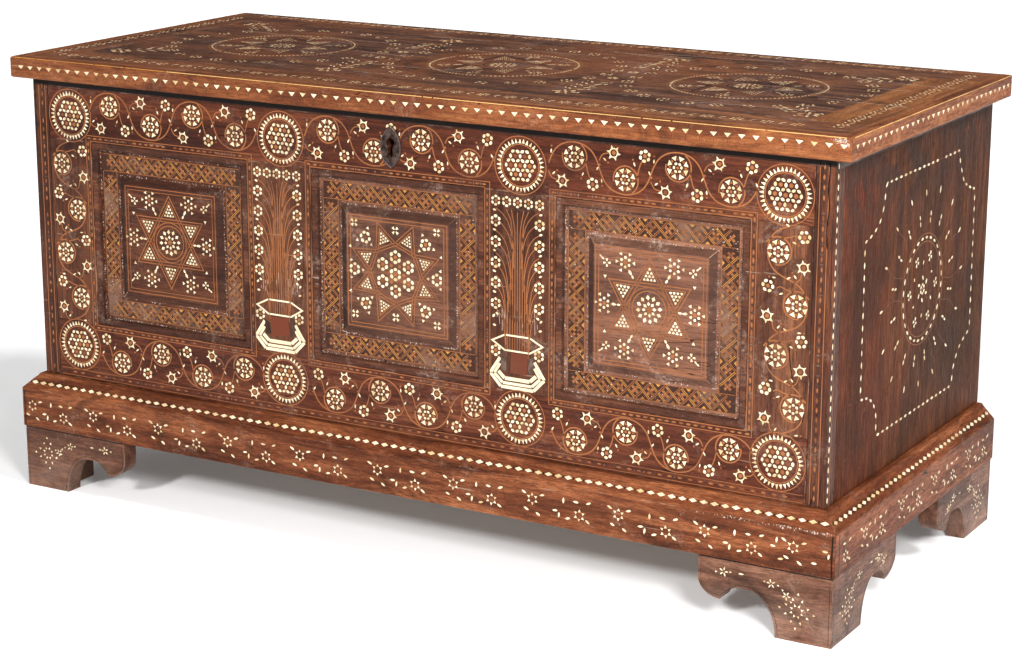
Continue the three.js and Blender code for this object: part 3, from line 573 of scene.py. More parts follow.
    @staticmethod
    def _pyramid() -> Motif:
        """Rows of one, two, three ... blunt triangles, the first at +x and each row a step nearer."""
        rows, step, width = 4, 4.7, 3.9
        half = width / 2
        chip = np.array([[-1.75, -half], [-0.6, -half], [1.9, -0.7], [1.9, 0.7], [-0.6, half], [-1.75, half]])
        places = [(step * ((rows - 1) / 2 - row) + 1.0, 1.28 * width * (i - row / 2))
                  for row in range(rows) for i in range(row + 1)]
        return Motif().put(BONE, chip, places)


# Finishes


class Nodes:
    """Adds nodes to one tree and links them, a line each."""

    def __init__(self, tree: bpy.types.NodeTree):
        """Keeps the tree that the nodes go into."""
        self.tree = tree

    def add(self, kind: str, inputs: dict | None = None, **settings) -> bpy.types.Node:
        """Adds a node.

        Args:
            kind: The node's type without "ShaderNode".
            inputs: Sockets by name or number: another node's output to link, or a constant.
            **settings: The node's own properties.

        Returns:
            The node.
        """
        node = self.tree.nodes.new("ShaderNode" + kind)
        for key, value in settings.items():
            setattr(node, key, value)
        for key, value in (inputs or {}).items():
            if isinstance(value, Socket):
                self.tree.links.new(value, node.inputs[key])
            else:
                node.inputs[key].default_value = value
        return node

    def mark(self, name: str) -> Socket:
        """A number kept on the mesh, such as where its arrises lie."""
        return self.add("Attribute", attribute_name=name).outputs["Fac"]

    def noise(self, place: Socket, scale: float, detail: float = 3.0, rough: float = 0.5, lean: float = 0.0,
              w: Socket | None = None) -> Socket:
        """A noise texture's value.

        Args:
            place: Where it is read.
            scale: Its scale.
            detail: How many finer octaves it has.
            rough: How strong they are.
            lean: How far it is distorted.
            w: A fourth coordinate, for a noise in four dimensions.

        Returns:
            The value, about 0.5 in the middle.
        """
        inputs = {"Vector": place, "Scale": scale, "Detail": detail, "Roughness": rough, "Distortion": lean}
        if w is not None:
            inputs["W"] = w
        return self.add("TexNoise", inputs, noise_dimensions="3D" if w is None else "4D").outputs["Fac"]

    def span(self, value: Socket, low: float, high: float, to_low: float = 0.0, to_high: float = 1.0,
             soft: bool = True) -> Socket:
        """Maps the range from low to high onto another, held at its ends."""
        return self.add("MapRange", {0: value, 1: low, 2: high, 3: to_low, 4: to_high},
                        interpolation_type="SMOOTHSTEP" if soft else "LINEAR").outputs[0]

    def math(self, operation: str, a: Socket, b: Socket | float = 0.0) -> Socket:
        """One sum on two values."""
        return self.add("Math", {0: a, 1: b}, operation=operation).outputs[0]

    def mix(self, share: Socket, a: Socket | tuple, b: Socket | tuple, blend: str = "MIX") -> Socket:
        """Mixes two colours by a share."""
        return self.add("Mix", {0: share, 6: a, 7: b}, data_type="RGBA", blend_type=blend).outputs[2]


def new_group(name: str, inputs: dict[str, str], outputs: str) -> tuple[Nodes, dict, Callable]:
    """Starts a node group.

    Args:
        name: The group's name.
        inputs: Socket types by name.
        outputs: The names of its outputs, all numbers, with a space between each two.

    Returns:
        Its Nodes, its input sockets by name, and a function that links an output.
    """
    tree = bpy.data.node_groups.new(name, "ShaderNodeTree")
    for key, kind in inputs.items():
        tree.interface.new_socket(key, in_out="INPUT", socket_type="NodeSocket" + kind)
    for key in outputs.split():
        tree.interface.new_socket(key, in_out="OUTPUT", socket_type="NodeSocketFloat")
    start, end = tree.nodes.new("NodeGroupInput"), tree.nodes.new("NodeGroupOutput")

    def give(key: str, socket: Socket) -> None:
        """Links a value to one of the group's outputs."""
        tree.links.new(socket, end.inputs[key])

    return Nodes(tree), {key: start.outputs[key] for key in inputs}, give


def figure_group() -> bpy.types.NodeTree:
    """The figure of walnut, each output from 0 to 1.

    Returns:
        A group that gives bands, fibres, pores, cloudy patches and thin drying cracks.
    """
    n, given, give = new_group("wood_figure", {"Along": "Vector", "Place": "Vector", "Board": "Float"},
                               "Bands Fibres Pores Patches Cracks")
    board = n.math("MULTIPLY", given["Board"], 37.0)
    bands = n.noise(given["Along"], 1.0, 8.0, 0.7, 0.9, board)
    give("Bands", n.span(bands, 0.32, 0.68))
    fibres = n.noise(given["Along"], 15.0, 3.0, 0.7, 0.3, board)
    give("Fibres", n.span(fibres, 0.3, 0.7))
    pores = n.noise(given["Along"], 38.0, 2.0, 0.6, 0.0)
    give("Pores", n.span(pores, 0.56, 0.66))
    patches = n.noise(given["Place"], 5.0, 4.0, 0.56, 0.5, board)
    give("Patches", n.span(patches, 0.42, 0.66))
    seam = n.math("ABSOLUTE", n.math("SUBTRACT", n.noise(given["Along"], 1.3, 2.0, 0.5, 0.4, board), 0.5))
    where = n.span(n.noise(given["Place"], 8.0, 3.0, 0.6, 0.0, board), 0.54, 0.6)
    give("Cracks", n.math("MULTIPLY", n.span(seam, 0.0, 0.006, 1.0, 0.0), where))
    return n.tree


def wear_and_painted_light_group() -> bpy.types.NodeTree:
    """Age, wear, painted shade and painted light, each output from 0 to 1.

    Returns:
        A group that gives rubbed arrises, a film of dust, dark stains, scratches, pale grit, small
        dents, the paler wood near the floor, painted shade under the lid, the redder wood near
        the front and painted light that makes the wood paler and greyer towards the right.
    """
    n, given, give = new_group("age_wear_and_painted_light", {"Place": "Vector", "Arris": "Float"},
                               "Rubbed Dust Stain Scratch Grit Dents Low High Ahead Faded")
    place = given["Place"]
    give("Rubbed", n.math("MULTIPLY", given["Arris"], n.span(n.noise(place, 34.0, 5.0, 0.68), 0.48, 0.66)))
    film = n.span(n.noise(place, 13.0, 9.0, 0.76, 0.5), 0.48, 0.7)
    dust = n.math("MULTIPLY", film, n.span(n.noise(place, 210.0, 5.0, 0.7), 0.36, 0.62))
    give("Dust", dust)
    give("Stain", n.span(n.noise(place, 9.0, 6.0, 0.66, 0.9), 0.53, 0.7))
    turned = n.add("Mapping", {"Vector": place, "Rotation": (0.5, 0.62, 0.3), "Scale": (11.0, 190.0, 190.0)})
    scratch = n.span(n.noise(turned.outputs[0], 1.0, 2.0, 0.5), 0.69, 0.74)
    give("Scratch", n.math("MULTIPLY", scratch, n.span(n.noise(place, 7.0, 2.0), 0.5, 0.6)))
    speck = n.span(n.noise(place, 430.0, 2.0, 0.6), 0.6, 0.72)
    give("Grit", n.math("MULTIPLY", speck, n.span(dust, 0.0, 1.0, 0.3, 1.0)))
    give("Dents", n.noise(place, 95.0, 3.0, 0.55))
    lie = n.add("SeparateXYZ", {"Vector": place}).outputs
    cloud = n.span(n.noise(place, 21.0, 5.0), 0.3, 0.6)
    give("Low", n.math("MULTIPLY", n.span(lie["Z"], 0.005, 0.085, 1.0, 0.0), cloud))
    # Painted shade under the lid: darker towards the top, broken up by a cloud.
    lid_shade_cloud = n.span(n.noise(place, 13.0, 7.0, 0.66, 0.7), 0.36, 0.6)
    give("High", n.math("MULTIPLY", n.span(lie["Z"], 0.45, 0.6), lid_shade_cloud))
    wave = n.span(n.noise(place, 4.5, 6.0, 0.62), 0.3, 0.7, -0.18, 0.18, False)
    give("Ahead", n.span(n.math("ADD", lie["Y"], wave), -0.27, 0.02, 1.0, 0.0))
    # Painted light from the right: the wood grows paler and greyer towards the right.
    give("Faded", n.span(n.math("ADD", lie["X"], wave), -0.35, 0.6))
    return n.tree


def start_material(name: str) -> tuple[Material, Nodes, Socket]:
    """Starts a material.

    Args:
        name: Its name.

    Returns:
        The material, its empty Nodes and the place on the piece, in metres.
    """
    material = bpy.data.materials.new(name)
    material.use_nodes = True
    n = Nodes(material.node_tree)
    n.tree.nodes.clear()
    return material, n, n.add("TexCoord").outputs["Object"]


def end_material(n: Nodes, height: Socket, strength: float, distance: float,
                 **inputs: Socket | float) -> None:
    """Ends a material with its bumps and its shader.

    Args:
        n: The material's Nodes.
        height: The bumps' height.
        strength: Their strength.
        distance: Their height in metres where the height is 1.
        **inputs: The shader's other inputs, with _ for each space.
    """
    bump = n.add("Bump", {"Height": height, "Strength": strength, "Distance": distance})
    given = {key.replace("_", " "): value for key, value in inputs.items()}
    shader = n.add("BsdfPrincipled", {**given, "Normal": bump.outputs[0]})
    n.tree.links.new(shader.outputs[0], n.add("OutputMaterial").inputs[0])


@dataclass(frozen=True)
class WoodFinish:
    """Old waxed wood: its figure's three colours and clouds, what wear and dust show, painted shade and
    painted light, and its gloss.
    """

    name: str
    slot: str
    dark: Triple
    middle: Triple
    light: Triple
    rubbed: Triple
    cloud: Triple
    cloudy: float = 0.5
    dust: Triple = (0.235, 0.15, 0.112)
    dusty: float = 0.3
    stained: float = 0.55
    gloss: float = 0.42
    shine: float = 0.12
    bands: float = 19.0
    reach: float = 1.5
    rub: float = 0.5
    slope_shade: float = 0.0
    warm: float = 0.0
    faded: float = 0.15
    lid_shade: float = 0.0

    def _shade(self, share: float) -> Triple:
        """A share of the darkest colour."""
        return tuple(share * part for part in self.dark)

    def make(self, grain: Grain, figure: bpy.types.NodeTree, wear: bpy.types.NodeTree) -> Material:
        """Makes the material for boards whose fibres run one way.

        Args:
            grain: The fibres' direction.
            figure: The wood_figure group.
            wear: The age_wear_and_painted_light group.

        Returns:
            The material.
        """
        material, n, place = start_material(f"{self.name}_{grain.name.lower()}")
        stretch = [self.bands] * 3
        stretch[grain.value] = self.reach
        lie = n.add("Mapping", {"Vector": place, "Rotation": (0.013, 0.02, 0.016), "Scale": stretch})
        along_grain = {"Along": lie.outputs[0], "Place": place, "Board": n.mark("board")}
        wood = n.add("Group", along_grain, node_tree=figure).outputs
        age = n.add("Group", {"Place": place, "Arris": n.mark("arris")}, node_tree=wear).outputs
        ramp = n.add("ValToRGB", {"Fac": wood["Bands"]})
        ramp.color_ramp.elements[0].color = (*self.dark, 1)
        ramp.color_ramp.elements[1].color = (*self.light, 1)
        ramp.color_ramp.elements.new(0.5).color = (*self.middle, 1)
        coats = [(wood["Patches"], self.cloudy, self.cloud), (wood["Fibres"], 0.6, self.dark),
                 (wood["Pores"], 0.5, self._shade(0.35))]
        if self.warm:
            coats.append((age["Ahead"], self.warm, (1.25, 0.88, 0.8), "MULTIPLY"))
        # Painted shade under the lid's overhang, darkest at the top of the end boards.
        if self.lid_shade:
            coats.append((age["High"], self.lid_shade, (0.026, 0.0155, 0.0125)))
        coats.append((age["Stain"], self.stained, self._shade(0.4)))
        # Painted shade on sloping faces, such as the fields' bevels and the mouldings, darkest where they
        # face left.
        if self.slope_shade:
            coats.append((n.mark("slope_shade"), self.slope_shade, (0.014, 0.0055, 0.0035)))
        # Then dust, more dust near the floor, painted light from the right, grit, scratches, rubbed arrises
        # and cracks.
        coats += [(age["Dust"], self.dusty, self.dust), (age["Low"], 0.2, self.dust),
                  (age["Faded"], self.faded, (2.1, 2.4, 2.6), "MULTIPLY"), (age["Grit"], 0.6, self.rubbed),
                  (age["Scratch"], 0.35, self.rubbed), (age["Rubbed"], self.rub, self.rubbed),
                  (wood["Cracks"], 0.9, self._shade(0.2))]
        colour = ramp.outputs[0]
        for mask, most, shade, *blend in coats:
            colour = n.mix(n.span(mask, 0, 1, 0.0, most), colour, (*shade, 1), *blend)
        rough = n.span(wood["Fibres"], 0, 1, self.gloss - 0.06, self.gloss + 0.12)
        rough = n.math("ADD", rough, n.span(age["Dust"], 0, 1, 0.0, 0.25))
        height = n.math("SUBTRACT", n.span(wood["Fibres"], 0, 1, 0.0, 0.5), wood["Pores"])
        height = n.math("ADD", height, n.span(age["Dents"], 0.3, 0.7, 0.0, 1.4))
        for sum_up, mask, most in (("SUBTRACT", age["Scratch"], 0.8), ("SUBTRACT", wood["Cracks"], 3.0),
                                   ("ADD", age["Grit"], 0.7)):
            height = n.math(sum_up, height, n.span(mask, 0, 1, 0.0, most))
        end_material(n, height, 0.55, 0.0004, Base_Color=colour, Roughness=rough,
                     Specular_IOR_Level=self.shine)
        return material


@dataclass(frozen=True)
class ChipFinish:
    """Inlaid chips: their colours from the palest to the yellowest, and how grimy they are."""

    slot: str
    pale: Triple
    deep: Triple
    grime: Triple
    grimy: float = 0.4
    gloss: float = 0.34
    shine: float = 0.12

    def make(self, name: str) -> Material:
        """Makes the material. Each chip's own colour comes from its tone attribute.

        Args:
            name: Its name.

        Returns:
            The material.
        """
        material, n, place = start_material(name)
        tone = n.mark("tone")
        lean = n.math("MULTIPLY", tone, tone)
        cloud = n.noise(place, 130.0, 4.0, 0.6)
        share = n.math("ADD", n.math("MULTIPLY", lean, 0.75), n.math("MULTIPLY", cloud, 0.45))
        colour = n.mix(n.span(share, 0.15, 1.1), (*self.pale, 1), (*self.deep, 1))
        dirt = n.span(n.noise(place, 16.0, 6.0, 0.7), 0.46, 0.72, 0.0, self.grimy)
        streak = n.span(n.noise(place, 900.0, 2.0), 0.55, 0.75, 0.0, 0.3)
        for mask in (dirt, streak):
            colour = n.mix(mask, colour, (*self.grime, 1))
        rough = n.span(cloud, 0.3, 0.7, self.gloss - 0.05, self.gloss + 0.15)
        end_material(n, cloud, 0.4, 0.0002, Base_Color=colour, Roughness=rough, Specular_IOR_Level=self.shine)
        return material


@dataclass(frozen=True)
class IronFinish:
    """Wrought iron gone brown and dark, bright where hands and keys have rubbed it."""

    name: str = "wrought_iron"
    bright: Triple = (0.12, 0.083, 0.07)
    dark: Triple = (0.02, 0.012, 0.01)
    rust: Triple = (0.05, 0.023, 0.014)

    def make(self) -> Material:
        """Makes the material, with hammered dents, rust and rubbed arrises.

        Returns:
            The material.
        """
        material, n, place = start_material(self.name)
        colour = n.mix(n.span(n.noise(place, 90.0, 5.0, 0.65), 0.38, 0.7), (*self.dark, 1), (*self.bright, 1))
        rusty = n.span(n.noise(place, 140.0, 6.0, 0.7), 0.5, 0.68)
        colour = n.mix(rusty, colour, (*self.rust, 1))
        colour = n.mix(n.span(n.mark("arris"), 0, 1, 0.0, 0.8), colour, (*self.bright, 1))
        end_material(n, n.noise(place, 260.0, 3.0), 0.5, 0.0004, Base_Color=colour,
                     Roughness=n.span(rusty, 0, 1, 0.36, 0.75), Metallic=n.span(rusty, 0, 1, 0.9, 0.25))
        return material


class Finishes:
    """Every finish of the chest, made once."""

    WOODS = (
        WoodFinish("red_walnut", "red_walnut", (0.02, 0.0042, 0.0021), (0.08, 0.0185, 0.0075),
                   (0.16, 0.048, 0.018), (0.34, 0.19, 0.12), (0.095, 0.02, 0.0065)),
        WoodFinish("dark_walnut", "dark_walnut", (0.022, 0.0062, 0.0032), (0.082, 0.0255, 0.0115),
                   (0.16, 0.058, 0.026), (0.36, 0.24, 0.17), (0.075, 0.025, 0.013), dusty=0.55),
        WoodFinish("post_walnut", "red_walnut", (0.018, 0.0055, 0.0034), (0.062, 0.019, 0.0095),
                   (0.13, 0.041, 0.018), (0.24, 0.13, 0.08), (0.05, 0.016, 0.009), 0.6, (0.17, 0.11, 0.085),
                   0.6, bands=34.0, reach=2.0, rub=0.25),
        WoodFinish("panel_walnut", "dark_walnut", (0.018, 0.005, 0.0027), (0.07, 0.02, 0.0092),
                   (0.14, 0.048, 0.021), (0.34, 0.25, 0.2), (0.06, 0.019, 0.0095), dusty=0.5, slope_shade=0.7),
        WoodFinish("panel_worn_walnut", "dark_walnut", (0.044, 0.017, 0.01), (0.107, 0.041, 0.023),
                   (0.17, 0.067, 0.036), (0.38, 0.28, 0.22), (0.095, 0.034, 0.018), 0.5,
                   (0.28, 0.18, 0.138), 0.5, slope_shade=0.8, faded=0.5),
        # The mouldings' pale rubbed arrises are wear and also a painted highlight.
        WoodFinish("moulding_walnut", "dark_walnut", (0.02, 0.0062, 0.0035), (0.07, 0.0215, 0.0105),
                   (0.15, 0.052, 0.024), (0.46, 0.38, 0.32), (0.06, 0.021, 0.0115), dusty=0.6, rub=0.85,
                   slope_shade=0.62),
        WoodFinish("plinth_walnut", "red_walnut", (0.03, 0.0075, 0.003), (0.13, 0.035, 0.0125),
                   (0.26, 0.085, 0.032), (0.4, 0.27, 0.19), (0.1, 0.024, 0.0085), 0.3, dusty=0.32,
                   bands=40.0, reach=5.0, rub=0.3, shine=0.08, faded=0.25),
        WoodFinish("foot_walnut", "red_walnut", (0.03, 0.011, 0.006), (0.12, 0.049, 0.028),
                   (0.23, 0.105, 0.062), (0.36, 0.25, 0.19), (0.11, 0.043, 0.0245), 0.35, (0.3, 0.2, 0.155),
                   0.4, bands=44.0, reach=5.0, rub=0.3),
        WoodFinish("side_walnut", "dark_walnut", (0.03, 0.009, 0.0035), (0.076, 0.0215, 0.0066),
                   (0.135, 0.04, 0.0125), (0.3, 0.17, 0.1), (0.026, 0.0115, 0.0045), 0.75,
                   (0.17, 0.085, 0.045), 0.15, stained=0.35, shine=0.03, bands=30.0, reach=2.2, rub=0.3,
                   warm=0.75, faded=0.0, lid_shade=0.7),
        WoodFinish("worn_walnut", "worn_walnut", (0.03, 0.0125, 0.0085), (0.1, 0.041, 0.0245),
                   (0.22, 0.083, 0.037), (0.38, 0.25, 0.16), (0.22, 0.068, 0.024), 0.55,
                   (0.19, 0.125, 0.108), 0.6, 0.7, 0.5, bands=27.0, reach=3.6),
        WoodFinish("lid_rail_walnut", "worn_walnut", (0.036, 0.014, 0.0085), (0.12, 0.045, 0.023),
                   (0.26, 0.096, 0.038), (0.38, 0.25, 0.16), (0.24, 0.074, 0.024), 0.6, (0.2, 0.118, 0.094),
                   0.5, 0.7, 0.5, bands=34.0, reach=4.0, faded=0.3),
        WoodFinish("end_walnut", "worn_walnut", (0.085, 0.03, 0.012), (0.24, 0.085, 0.028),
                   (0.38, 0.15, 0.052), (0.45, 0.3, 0.19), (0.13, 0.045, 0.018), 0.5, (0.22, 0.13, 0.1),
                   0.35, gloss=0.5, bands=44.0, reach=4.0, faded=0.0),
        WoodFinish("edge_walnut", "lid_edge_walnut", (0.055, 0.0135, 0.005), (0.165, 0.047, 0.0145),
                   (0.27, 0.092, 0.03), (0.45, 0.27, 0.16), (0.13, 0.034, 0.0105), 0.5, (0.27, 0.135, 0.09),
                   0.3, stained=0.5, bands=42.0, reach=4.0, faded=0.3),
        WoodFinish("softwood", "inside_softwood", (0.14, 0.08, 0.042), (0.23, 0.14, 0.075),
                   (0.31, 0.2, 0.115), (0.38, 0.27, 0.17), (0.2, 0.12, 0.062), dusty=0.4, gloss=0.68,
                   bands=30.0),
        WoodFinish("old_softwood", "inside_softwood", (0.045, 0.021, 0.013), (0.085, 0.042, 0.026),
                   (0.13, 0.067, 0.042), (0.2, 0.12, 0.08), (0.07, 0.033, 0.02), gloss=0.68, bands=30.0),
    )
    CHIPS = {
        BONE: ChipFinish("bone_inlay", (0.67, 0.57, 0.39), (0.46, 0.32, 0.145), (0.16, 0.085, 0.042),
                         shine=0.35),
        FRUIT: ChipFinish("fruitwood_inlay", (0.26, 0.094, 0.032), (0.13, 0.041, 0.016),
                          (0.095, 0.042, 0.025), 0.75),
        BOX: ChipFinish("fruitwood_inlay", (0.45, 0.195, 0.04), (0.2, 0.068, 0.02), (0.16, 0.09, 0.058),
                        0.95),
        RED: ChipFinish("red_walnut", (0.11, 0.026, 0.0105), (0.07, 0.016, 0.007), (0.085, 0.04, 0.026), 0.8),
        # The two darkest stuffs also serve as painted shadow strips.
        BOG: ChipFinish("dark_walnut", (0.02, 0.008, 0.005), (0.045, 0.018, 0.01), (0.2, 0.14, 0.11), 0.85),
        DUST: ChipFinish("dark_walnut", (0.42, 0.34, 0.28), (0.2, 0.135, 0.1), (0.1, 0.06, 0.04), 0.5),
        PITCH: ChipFinish("dark_walnut", (0.005, 0.003, 0.0022), (0.011, 0.006, 0.0045),
                          (0.022, 0.014, 0.01)),
        BED: ChipFinish("dark_walnut", (0.03, 0.0105, 0.006), (0.055, 0.02, 0.011), (0.2, 0.115, 0.08), 0.75),
        AGED: ChipFinish("bone_inlay", (0.62, 0.46, 0.27), (0.36, 0.2, 0.083), (0.14, 0.07, 0.04), 0.62,
                         shine=0.2),
        STRAW: ChipFinish("fruitwood_inlay", (0.6, 0.36, 0.13), (0.42, 0.21, 0.062), (0.2, 0.11, 0.06), 0.9),
    }

    def __init__(self) -> None:
        """Builds the shared node groups and the finishes of inlay and iron."""
        self.figure, self.wear = figure_group(), wear_and_painted_light_group()
        self.woods = {wood.name: wood for wood in self.WOODS}
        self.made: dict[tuple[str, Grain], Material] = {}
        self.inlay = {stuff: finish.make(stuff.value) for stuff, finish in self.CHIPS.items()}
        self.iron = IronFinish().make()

    def wood(self, name: str, grain: Grain) -> tuple[Material, str]:
        """Finds a wood's material, which is made when it is first asked for.

        Args:
            name: The finish's name.
            grain: The fibres' direction.

        Returns:
            The material and its record slot.
        """
        finish = self.woods[name]
        if (name, grain) not in self.made:
            self.made[name, grain] = finish.make(grain, self.figure, self.wear)
        return self.made[name, grain], finish.slot


# Boards


@dataclass(frozen=True)
class Board:
    """One CAD board as it is dressed: its finish, its grain and how far its arrises are eased."""

    node: str
    wood: str
    grain: Grain
    body: str = "case"
    ease: float = 0.8


class Joinery:
    """Replaces the frame's plain boards with eased copies that carry wear on their arrises and painted shade
    on their sloping faces.
    """

    FLAT = math.radians(2)
    SHARP = math.radians(32)
    SQUARE = 0.985
    WELD = 2e-6

    def __init__(self, finishes: Finishes):
        """Keeps the finishes."""
        self.finishes = finishes
        self.random = np.random.default_rng(SEED)

    def dress(self, boards: Iterable[Board]) -> None:
        """Makes each board's eased copy."""
        for board in boards:
            self._eased_copy(board)

    @classmethod
    def _slope_shade(cls, normal: Vector) -> float:
        """How much painted shade a sloping face gets, from 0 to 1, set by which way it turns. A face square
        to the chest has none.
        """
        if max(abs(part) for part in normal) >= cls.SQUARE:
            return 0.0
        if abs(normal.x) > abs(normal.z):
            return 1.0 if normal.x < 0 else 0.75
        return 0.6 if normal.z > 0 else 0.5

    def _eased_copy(self, board: Board) -> None:
        """Merges a copy of the node, rounds its sharp edges, marks them as the arris and marks each sloping
        face's painted shade.
        """
        mesh = bpy.data.meshes.new(board.node + "_wood")
        work = bmesh.new()
        work.from_mesh(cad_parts[board.node].data)
        arris = work.faces.layers.float.new("arris")
        slope_shade = work.faces.layers.float.new("slope_shade")
        bmesh.ops.remove_doubles(work, verts=work.verts, dist=self.WELD)
        bmesh.ops.dissolve_limit(work, angle_limit=self.FLAT, verts=work.verts, edges=work.edges)
        edges = [e for e in work.edges if len(e.link_faces) == 2 and e.calc_face_angle(0.0) > self.SHARP]
        rounded = bmesh.ops.bevel(work, geom=edges, offset=board.ease * MM, segments=2, profile=0.6,
                                  affect="EDGES", clamp_overlap=True)
        # Painted shade: each sloping face is darkened by which way it turns; the rounded arrises are not.
        for face in work.faces:
            face[slope_shade] = self._slope_shade(face.normal)
        for face in rounded["faces"]:
            face[arris], face[slope_shade] = 1.0, 0.0
        work.to_mesh(mesh)
        work.free()
        tone = mesh.attributes.new("board", "FLOAT", "FACE")
        tone.data.foreach_set("value", np.full(len(mesh.polygons), self.random.random(), np.float32))
        mesh.update()
        piece = scene_object(mesh.name, mesh)
        material, slot = self.finishes.wood(board.wood, board.grain)
        finish_piece(piece, board.body, material)
        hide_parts(board.node)

    def paint(self, nodes: Iterable[str], wood: str, grain: Grain) -> None:
        """Gives hidden CAD boards a wood's material as they are."""
        material = self.finishes.wood(wood, grain)[0]
        for node in nodes:
            paint_node(node, material)


def paint_node(node: str, material: Material) -> None:
    """Puts a material on every slot of a CAD node."""
    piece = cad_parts[node]
    if not piece.material_slots:
        piece.data.materials.append(material)
    for slot in piece.material_slots:
        slot.material = material


# Ornament


OVER_UNDER = (1, -1, 1, -1)


@dataclass
class Vine:
    """A wavy stem with a spiral round each big flower, buds, stars and leaves on its hollow side."""

    work: Inlay
    motifs: Motifs
    width: float = 2.1
    swing: float = 31.0

    def stem(self, first: Points, axis: Points, side: Points, step: float, flowers: int) -> None:
        """Draws the stem past its flowers.

        It is a cosine whose flanks are steepened: along = step * s / pi + k * sin(2 s), and
        across = swing * cos(s), from a quarter turn before the first flower to one after the last.

        Args:
            first: The stem's middle beside the first flower.
            axis: Unit vector along the stem.
            side: Unit vector towards the side on which it passes the first flower.
            step: From one flower to the next.
            flowers: How many there are.
        """
        s = np.linspace(-math.pi / 2, (flowers - 0.5) * math.pi, 26 * flowers)
        run = step * s / math.pi + step * 0.085 * np.sin(2 * s)
        path = first + run[:, None] * axis + (self.swing * np.cos(s))[:, None] * side
        self.work.string(FRUIT, path, self.width)

    def flower(self, centre: Iterable, axis: Points, side: Points, reach: float = 28.0,
               out: float = 33.5) -> None:
        """A big flower, the spiral that holds it, and the bud, star and leaves beyond it.

        Args:
            centre: The flower's middle.
            axis: Unit vector along the stem.
            side: Unit vector towards the side on which the stem passes.
            reach: From the flower to the bud, along the stem.
            out: From the flower to the bud and the star, across it.
        """
        centre = np.array(centre, float)

        def put(points: Iterable) -> Points:
            """Turns points drawn as (along the stem, towards its passing side) to the face."""
            drawn = np.atleast_2d(np.array(points, float))
            return centre + drawn[:, :1] * axis + drawn[:, 1:] * side

        def aim(degrees: float) -> float:
            """Turns an angle drawn in the same way."""
            drawn = heading(math.radians(degrees))
            ahead = drawn[0] * axis + drawn[1] * side
            return math.atan2(ahead[1], ahead[0])

        work, motifs = self.work, self.motifs
        angle = np.radians(np.linspace(168, 418, 44))
        grow = np.linspace(16.9, 19.6, 44)
        work.string(FRUIT, put(grow[:, None] * heading(angle)), self.width)
        for twig in ([(17.4, -3), (19.5, -14), (22.5, -23), (reach - 2, -28)],
                     [(-38, -22), (-33, -30), (-24, -33)]):
            work.string(FRUIT, put(smooth(twig)), self.width * 0.8)
        work.motif(motifs.flower, put([(0, 0)]), aim(0))
        work.motif(motifs.rosette, put([(reach, -out)]), aim(8), 1.16)
        work.motif(motifs.star, put([(-17, -out)]), aim(10), 1.1)
        for at, degrees in (((-34, 5), 85), ((-30, -24), 38), ((13.5, -21.5), -112), ((35, -12), 60)):
            work.motif(motifs.leaf, put([at]), aim(degrees), 0.85)


